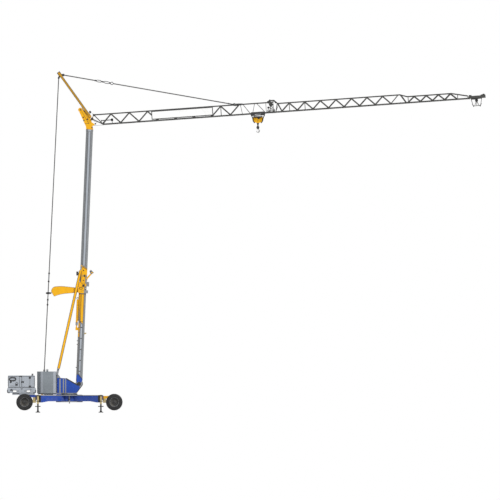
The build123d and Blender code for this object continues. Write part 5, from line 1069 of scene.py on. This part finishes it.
def backstay_sleeves():
    """Knots on each tie of the backstay, and a turnbuckle sleeve between the upper two."""
    way = (BACKSTAY_END - BACKSTAY_FOOT) / np.linalg.norm(BACKSTAY_END - BACKSTAY_FOOT)

    def sleeve(profile, z):
        """A profile turned round one tie, starting at a height."""
        return turned(profile, BACKSTAY_FOOT + way * (z - BACKSTAY_FOOT[2]), way, 12)

    knots = [sleeve(barrel(0.03, 0.054, 0, 0.1, 0.01), z) for z in BACKSTAY_KNOTS]
    put("backstay_knots", mirrored(knots))
    turnbuckle = sleeve(barrel(0.03, 0.04, 0.1, 0.45, 0.004), BACKSTAY_SLEEVE)
    put("backstay_sleeves", mirrored([turnbuckle]), "steel_grey")


# Jib: each section has its start, panel length, number of nodes and depth

SECTIONS = ((0.0, 1.151, 9, 0.622), (11.296, 0.98, 8, 0.52), (19.26, 0.762, 5, 0.373))
ROOT_DEPTH, MIDDLE_DEPTH = SECTIONS[0][3], SECTIONS[1][3]
LACING = 0.014
BRACE_WIDTH, BRACE_INNER, BRACE_OUTER, BRACE_INSET = 0.07, -0.022, 0.025, 0.02
GUSSET_LOW, GUSSET_HIGH, GUSSET_HALF = (0.1, 0.035), (0.05, 0.09), 0.006
LAST_POST = (7.482, 0.02, 0.6, 0.05, -0.02, 0.02)
FOLD_BRACE = ((11.089, 0.49), (11.296, 0.02), 0.07, -0.02, 0.02)
FLANGE_LOW, FLANGE_HIGH = (-0.012, 0.345, -0.035), (0.012, 0.449, 0.068)
JIB_FLANGES = (10.359, 11.069, 18.751, 19.204)
STAY_LUG = ((8.5, 0.56), (8.42, 0.68), (8.52, 0.7), (8.86, 0.68), (8.9, 0.58))


def jib_trim():
    """Bottom lacing, brace faces, gussets at the nodes and flange plates at the joints of the jib."""
    lacing, gussets = [], []
    for start, step, count, depth in SECTIONS:
        nodes = start + step * np.arange(count)
        for i, (a, b) in enumerate(zip(nodes[:-1], nodes[1:])):
            side = JIB_GAUGE * (-1) ** i
            lacing += [straight((a, side, 0), (b, -side, 0), circle(LACING, 8), UP),
                       straight((b, -JIB_GAUGE, 0), (b, JIB_GAUGE, 0), circle(LACING, 8), UP)]
        corner = np.array([(-1, 1), (1, 1)])
        plan = np.concatenate([corner * GUSSET_LOW, corner[::-1] * GUSSET_HIGH])
        low = [slab(plan + [u, 0], -GUSSET_HALF, GUSSET_HALF) for u in nodes[1:-1]]
        top = depth - BRACE_INSET
        rising = [((a, BRACE_INSET), (a + step / 2, top)) for a in nodes[:-1]]
        last = -1 if start == 0 else None
        falling = [((b - step / 2, top), (b, BRACE_INSET)) for b in nodes[1:last]]
        faces = [strip(a, b, BRACE_WIDTH, BRACE_INNER, BRACE_OUTER) for a, b in rising + falling]
        for side in (-1, 1):
            gussets += on_slope(low + faces, depth, side)
    put("jib_lacing", on_jib(lacing), "jib_grey")
    for side in (-1, 1):
        gussets += on_slope([upright(*LAST_POST)], ROOT_DEPTH, side)
        gussets += on_slope([strip(*FOLD_BRACE)], MIDDLE_DEPTH, side)
    put("jib_gussets", on_jib(gussets), "jib_grey")
    flanges = [block(np.add(FLANGE_LOW, (u, 0, 0)), np.add(FLANGE_HIGH, (u, 0, 0))) for u in JIB_FLANGES]
    put("jib_flanges", on_jib(mirrored(flanges)))
    put("stay_lug", on_jib([slab(STAY_LUG, -0.1, 0.1)]), bevel=0.006)


BOARD_ENDS, BOARD_HEIGHTS = (3.104, 6.982), (0.068, 0.554)
BOARD_BAR, BOARD_NEAR, BOARD_FAR = 0.05, 0.034, 0.046


def board_frame():
    """A thin dark frame round each sign board, on its outer face."""
    uprights = (BOARD_ENDS[0] + BOARD_BAR / 2, BOARD_ENDS[1] - BOARD_BAR / 2)
    bars = [level(*BOARD_ENDS, v, BOARD_BAR, BOARD_NEAR, BOARD_FAR) for v in BOARD_HEIGHTS]
    bars += [upright(u, *BOARD_HEIGHTS, BOARD_BAR, BOARD_NEAR, BOARD_FAR) for u in uprights]
    put("board_frame", on_jib(on_slope(bars, ROOT_DEPTH, -1) + on_slope(bars, ROOT_DEPTH, 1)))


FOLD_Y = 0.05
FOLD_RINGS = ((12.65, 19.345, 0.1, 0.02), (12.67, 19.157, 0.08, 0.018), (12.51, 18.95, 0.08, 0.016),
              (12.82, 18.985, 0.085, 0.016))
FOLD_PINS = ((12.613, 19.572, 0.05, 0.07), (12.498, 19.15, 0.07, 0.08), (12.94, 19.47, 0.045, 0.06),
             (13.125, 19.33, 0.05, 0.06), (12.8, 19.344, 0.03, 0.06), (12.8, 19.154, 0.03, 0.06),
             (12.51, 18.935, 0.042, 0.06), (12.835, 18.985, 0.045, 0.06))
FOLD_BARS = (((12.645, 19.066), (12.66, 18.8), 0.05, 0.05), ((12.44, 19.56), (12.5, 19.4), 0.06, 0.05),
             ((12.648, 18.83), (12.943, 18.85), 0.05, 0.3))
LINK_REACH, LINK_DROP, LINK_ARCH = 0.512, 0.242, 0.09
FOLD_STAY = ((13.125, 19.33), (12.975, 18.9), 0.03, 0.1, 0.12)


def fold_joint():
    """Ring plates, knobs and the over-link of the jib's fold, and the brace behind it."""
    pale = [hoop(x, z, radius, radius, tube, FOLD_Y) for x, z, radius, tube in FOLD_RINGS]
    put("fold_rings", mirrored(pale), "jib_grey")
    dark = [pin(x, z, radius, -half, half) for x, z, radius, half in FOLD_PINS]
    dark += [strip(start, end, width, -half, half) for start, end, width, half in FOLD_BARS]
    put("fold_fittings", dark)
    x, z, *_ = FOLD_PINS[0]
    t = np.linspace(0, 1, 14)
    arch = z - LINK_DROP * t + LINK_ARCH * np.sin(np.pi * t)
    over = np.stack([x + LINK_REACH * t, np.full(14, FOLD_Y), arch], -1)
    put("fold_link", mirrored([along_path(over, rectangle(0.02, 0.05)), strip(*FOLD_STAY)]), "jib_grey")


TIP_REAR = ((23.07, 0.02), (23.07, 0.2), (23.25, 0.19), (23.22, 0.03))
TIP_NOSE = ((23.84, -0.03), (23.8, 0.17), (23.92, 0.19), (24.0, 0.24), (24.1, 0.17), (24.11, -0.03))
TIP_UNDER = ((23.2, -0.1), (23.2, -0.02), (23.72, -0.02), (23.62, -0.11))
CAGE_CORNERS = (((23.255, -0.36), (23.34, -0.56)), ((23.825, -0.36), (23.73, -0.56)))


def tip_trim():
    """Dark blocks at both ends of the jib's nose, a fitting under it and the corners of its cage."""
    blocks = ((TIP_REAR, 0.17), (TIP_NOSE, 0.17), (TIP_UNDER, 0.08))
    shapes = [slab(outline, -half, half) for outline, half in blocks]
    put("tip_blocks", on_jib(shapes), bevel=0.012)
    corners = [strip(start, end, 0.05, 0.126, 0.156) for start, end in CAGE_CORNERS]
    put("cage_corners", on_jib(mirrored(corners)), bevel=0.004)


# Trolley and hook

TROLLEY_SHEAVE, TROLLEY_BORE, SHEAVE_HALF = 0.05, 0.014, 0.022
FUNNEL = ((0.415, 18.69), (0.36, 18.57), (0.315, 18.45), (0.3, 18.33), (0.26, 18.25), (0.19, 18.19))
FUNNEL_Y = 0.13
END_BLOCK = ((-0.13, -0.08), (0.13, -0.08), (0.13, 0.05), (0.08, 0.09), (-0.08, 0.09), (-0.13, 0.05))
END_BLOCK_REACH, END_BLOCK_Z, END_BLOCK_RISE = 0.33, 18.79, 0.023


def trolley_trim():
    """End blocks and curved funnel guides of the trolley, with its grooved sheaves."""
    low, high = low_corner("trolley_sheaves"), high_corner("trolley_sheaves")
    wheels = [sheave(x, z, TROLLEY_SHEAVE, TROLLEY_BORE, SHEAVE_HALF)
              for x, _, z in (low + TROLLEY_SHEAVE, high - TROLLEY_SHEAVE)]
    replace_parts(put("trolley_grooved_sheaves", wheels, body="trolley"), "trolley_sheaves")
    x, z = eased(FUNNEL, 16).T
    guides = [along_path(np.stack([HOOK_X + s * x, np.full(16, FUNNEL_Y), z], -1), rectangle(0.024, 0.06))
              for s in (-1, 1)]
    spots = [(HOOK_X + s * END_BLOCK_REACH, END_BLOCK_Z + s * END_BLOCK_RISE) for s in (-1, 1)]
    blocks = [slab(np.add(END_BLOCK, spot), 0.516, 0.532) for spot in spots]
    put("trolley_guides", mirrored(guides + blocks), body="trolley", bevel=0.004)


BLOCK_TOP = 18.5583
SHEAVE_Z, SHEAVE_REACH, SHEAVE_RADIUS, SHEAVE_BORE = 18.4883, 0.14, 0.115, 0.026
TOP_PLATE = ((-0.3, -0.03), (-0.28, 0.055), (0.28, 0.06), (0.3, 0.01), (0.16, -0.04), (0.06, -0.14),
             (-0.05, -0.05))
BOWL_HALF, BOWL_DEPTH, BOWL_SIDE, BOWL_LOW = 0.305, 0.366, 0.7, 0.75
BLOCK_NECK = ((0.06, 18.2), (0.078, 18.19), (0.074, 18.16), (0.052, 18.12), (0.048, 18.03))


def hook_block_trim():
    """Faces (sine and cosine of a half turn, squared up), top plates, neck and sheaves of the hook block."""
    wheels = [sheave(HOOK_X + s * SHEAVE_REACH, SHEAVE_Z, SHEAVE_RADIUS, SHEAVE_BORE, SHEAVE_HALF)
              for s in (-1, 1)]
    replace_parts(put("block_grooved_sheaves", wheels, body="hook_block"), "block_sheaves")
    a = np.linspace(np.pi, 2 * np.pi, 25)
    wide = BOWL_HALF * np.sign(np.cos(a)) * np.abs(np.cos(a)) ** BOWL_SIDE
    deep = -BOWL_DEPTH * np.abs(np.sin(a)) ** BOWL_LOW
    bowl = slab(np.stack([wide, deep], -1) + [HOOK_X, BLOCK_TOP], 0.084, 0.09)
    put("block_faces", mirrored([bowl]), "crane_yellow", "hook_block", bevel=0.002)
    plates = [slab(np.add(TOP_PLATE, (HOOK_X, BLOCK_TOP)), 0.088, 0.095),
              pin(HOOK_X, SHEAVE_Z - 0.17, 0.03, 0.088, 0.1)]
    neck = turned(BLOCK_NECK, (HOOK_X, 0, 0), UP)
    put("block_top", mirrored(plates) + [neck], body="hook_block", bevel=0.003)


ROPE_RADIUS = 0.009
ROPE_TOP, ROPE_TOP_RISE = 0.015, 0.014


def rope_falls():
    """The two falls of the hoist rope, stranded, from the trolley's sheaves down to those of the block."""
    low, high = low_corner("hoist_falls"), high_corner("hoist_falls")
    reach = (high[0] - low[0]) / 2 - ROPE_RADIUS
    ropes = []
    for side in (-1, 1):
        x = HOOK_X + side * reach
        top = high[2] - ROPE_TOP + side * ROPE_TOP_RISE
        ropes.append(stranded((x, 0, top), (x, 0, low[2]), ROPE_RADIUS, rows=30))
    piece = put("stranded_falls", ropes, "rope_steel", None)
    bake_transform(piece)
    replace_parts(piece, "hoist_falls")


BALL_LOW, BALL_HIGH = 17.8223, 18.0233
BOW_RADIUS, BOW_ROWS = 0.092, 34
HOOK_CENTRE = BALL_LOW - 0.0335 - BOW_RADIUS
BOW_THIN, BOW_THICKER = 0.02, 0.017
SHANK = ((0.026, 0.03), (0.024, -0.01))
SWIVEL = ((0.03, -0.012), (0.06, 0), (0.085, 0.03), (0.095, 0.085), (0.082, 0.14), (0.055, 0.175),
          (0.042, BALL_HIGH - BALL_LOW - 0.006))
LATCH_START, LATCH_END = np.array([-0.012, 0.075]), np.array([-0.078, 0.012])


def hook_detail():
    """A forged hook: round shank, thick bow that thins to its point, latch, and a swivel ball above."""
    a = np.linspace(math.radians(90), math.radians(-160), BOW_ROWS)[2:]
    bow = np.stack([HOOK_X + BOW_RADIUS * np.cos(a), 0 * a, HOOK_CENTRE + BOW_RADIUS * np.sin(a)], -1)
    thick = BOW_THIN + BOW_THICKER * np.sin(np.linspace(0.35, np.pi * 0.93, BOW_ROWS)[2:])
    path = np.concatenate([[(HOOK_X, 0, BALL_LOW + z) for _, z in SHANK], bow])
    radii = np.concatenate([[radius for radius, _ in SHANK], thick])
    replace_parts(put("forged_hook", [tapered(path, radii)], "hook_steel", "hook", smooth=60), "hook")
    middle_of_bow = (HOOK_X, HOOK_CENTRE)
    latch = strip(LATCH_START + middle_of_bow, LATCH_END + middle_of_bow, 0.014, -0.012, 0.012)
    put("hook_ball", [turned(SWIVEL, (HOOK_X, 0, BALL_LOW), UP), latch], body="hook", smooth=60)


# Scene

VIEW_WIDTH = 31.4
VIEW_X = 11.342
VIEW_Z = 10.211
VIEW_DISTANCE = 80
SKY_LIGHT = 0.42
SUN_LIGHT = 2.4
SUN_SPREAD = math.radians(20)
SUN_TURN = (math.radians(52), 0, math.radians(20))
FLOOR_SIZE = 200
FLOOR_Z = -0.002
FLOOR_TONES = ((0.86, 0.86, 0.86), (0.89, 0.89, 0.89))


def view():
    """Orthographic camera square to the jib."""
    scene = bpy.context.scene
    camera = bpy.data.objects.new("camera", bpy.data.cameras.new("camera"))
    camera.data.type = "ORTHO"
    camera.data.ortho_scale = VIEW_WIDTH
    camera.data.clip_end = 5 * VIEW_DISTANCE
    camera.location = (VIEW_X, -VIEW_DISTANCE, VIEW_Z)
    camera.rotation_euler = (math.pi / 2, 0, 0)
    scene.collection.objects.link(camera)
    scene.camera = camera
    scene.view_settings.view_transform = "Standard"


def daylight():
    """Soft sun from the front and above, and a sky that is white where it is seen and dimmer as a light."""
    scene = bpy.context.scene
    sun = bpy.data.objects.new("soft_sun", bpy.data.lights.new("soft_sun", "SUN"))
    sun.data.energy = SUN_LIGHT
    sun.data.angle = SUN_SPREAD
    sun.rotation_euler = SUN_TURN
    scene.collection.objects.link(sun)
    world = bpy.data.worlds.new("studio")
    world.use_nodes = True
    scene.world = world
    tree = world.node_tree
    seen = add(tree, "ShaderNodeLightPath").outputs
    shown = seen["Is Camera Ray"]
    for ray in ("Is Glossy Ray", "Is Transmission Ray"):
        shown = add(tree, "ShaderNodeMath", {0: shown, 1: seen[ray]}, operation="MAXIMUM").outputs[0]
    light = spread(tree, shown, 0, 1, SKY_LIGHT, 1)
    tree.links.new(light, tree.nodes["Background"].inputs["Strength"])
    tree.nodes["Background"].inputs["Color"].default_value = (1, 1, 1, 1)


def floor():
    """A pale floor just under the jack feet."""
    mesh = bpy.data.meshes.new("floor")
    mesh.from_pydata(np.insert(rectangle(FLOOR_SIZE, FLOOR_SIZE), 2, FLOOR_Z, axis=1), [], [range(4)])
    ground = bpy.data.objects.new("floor", mesh)
    bpy.context.scene.collection.objects.link(ground)
    pale, tree, shader, place = new_finish("pale_floor")
    tree.links.new(mix(tree, cloud(tree, place, 0.4, 0.3, 0.7), *FLOOR_TONES), shader.inputs["Base Color"])
    shader.inputs["Roughness"].default_value = 0.9
    mesh.materials.append(pale)


dress_nodes()
for corner in CORNERS:
    tyre(corner)
    wheel_fittings(corner)
brackets = [jack_trim(corner) for corner in CORNERS]
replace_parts(brackets[0], "jack_brackets")
for make in (generator_trim, skid_trim, slewing_trim, springs, platform_trim, foot_trim, mast_trim,
             skirt_trim, collar_trim, guide_arm, head_trim, winch, jib_stay, backstay_sleeves, jib_trim,
             board_frame, fold_joint, tip_trim, trolley_trim, hook_block_trim, rope_falls, hook_detail,
             view, daylight, floor):
    make()
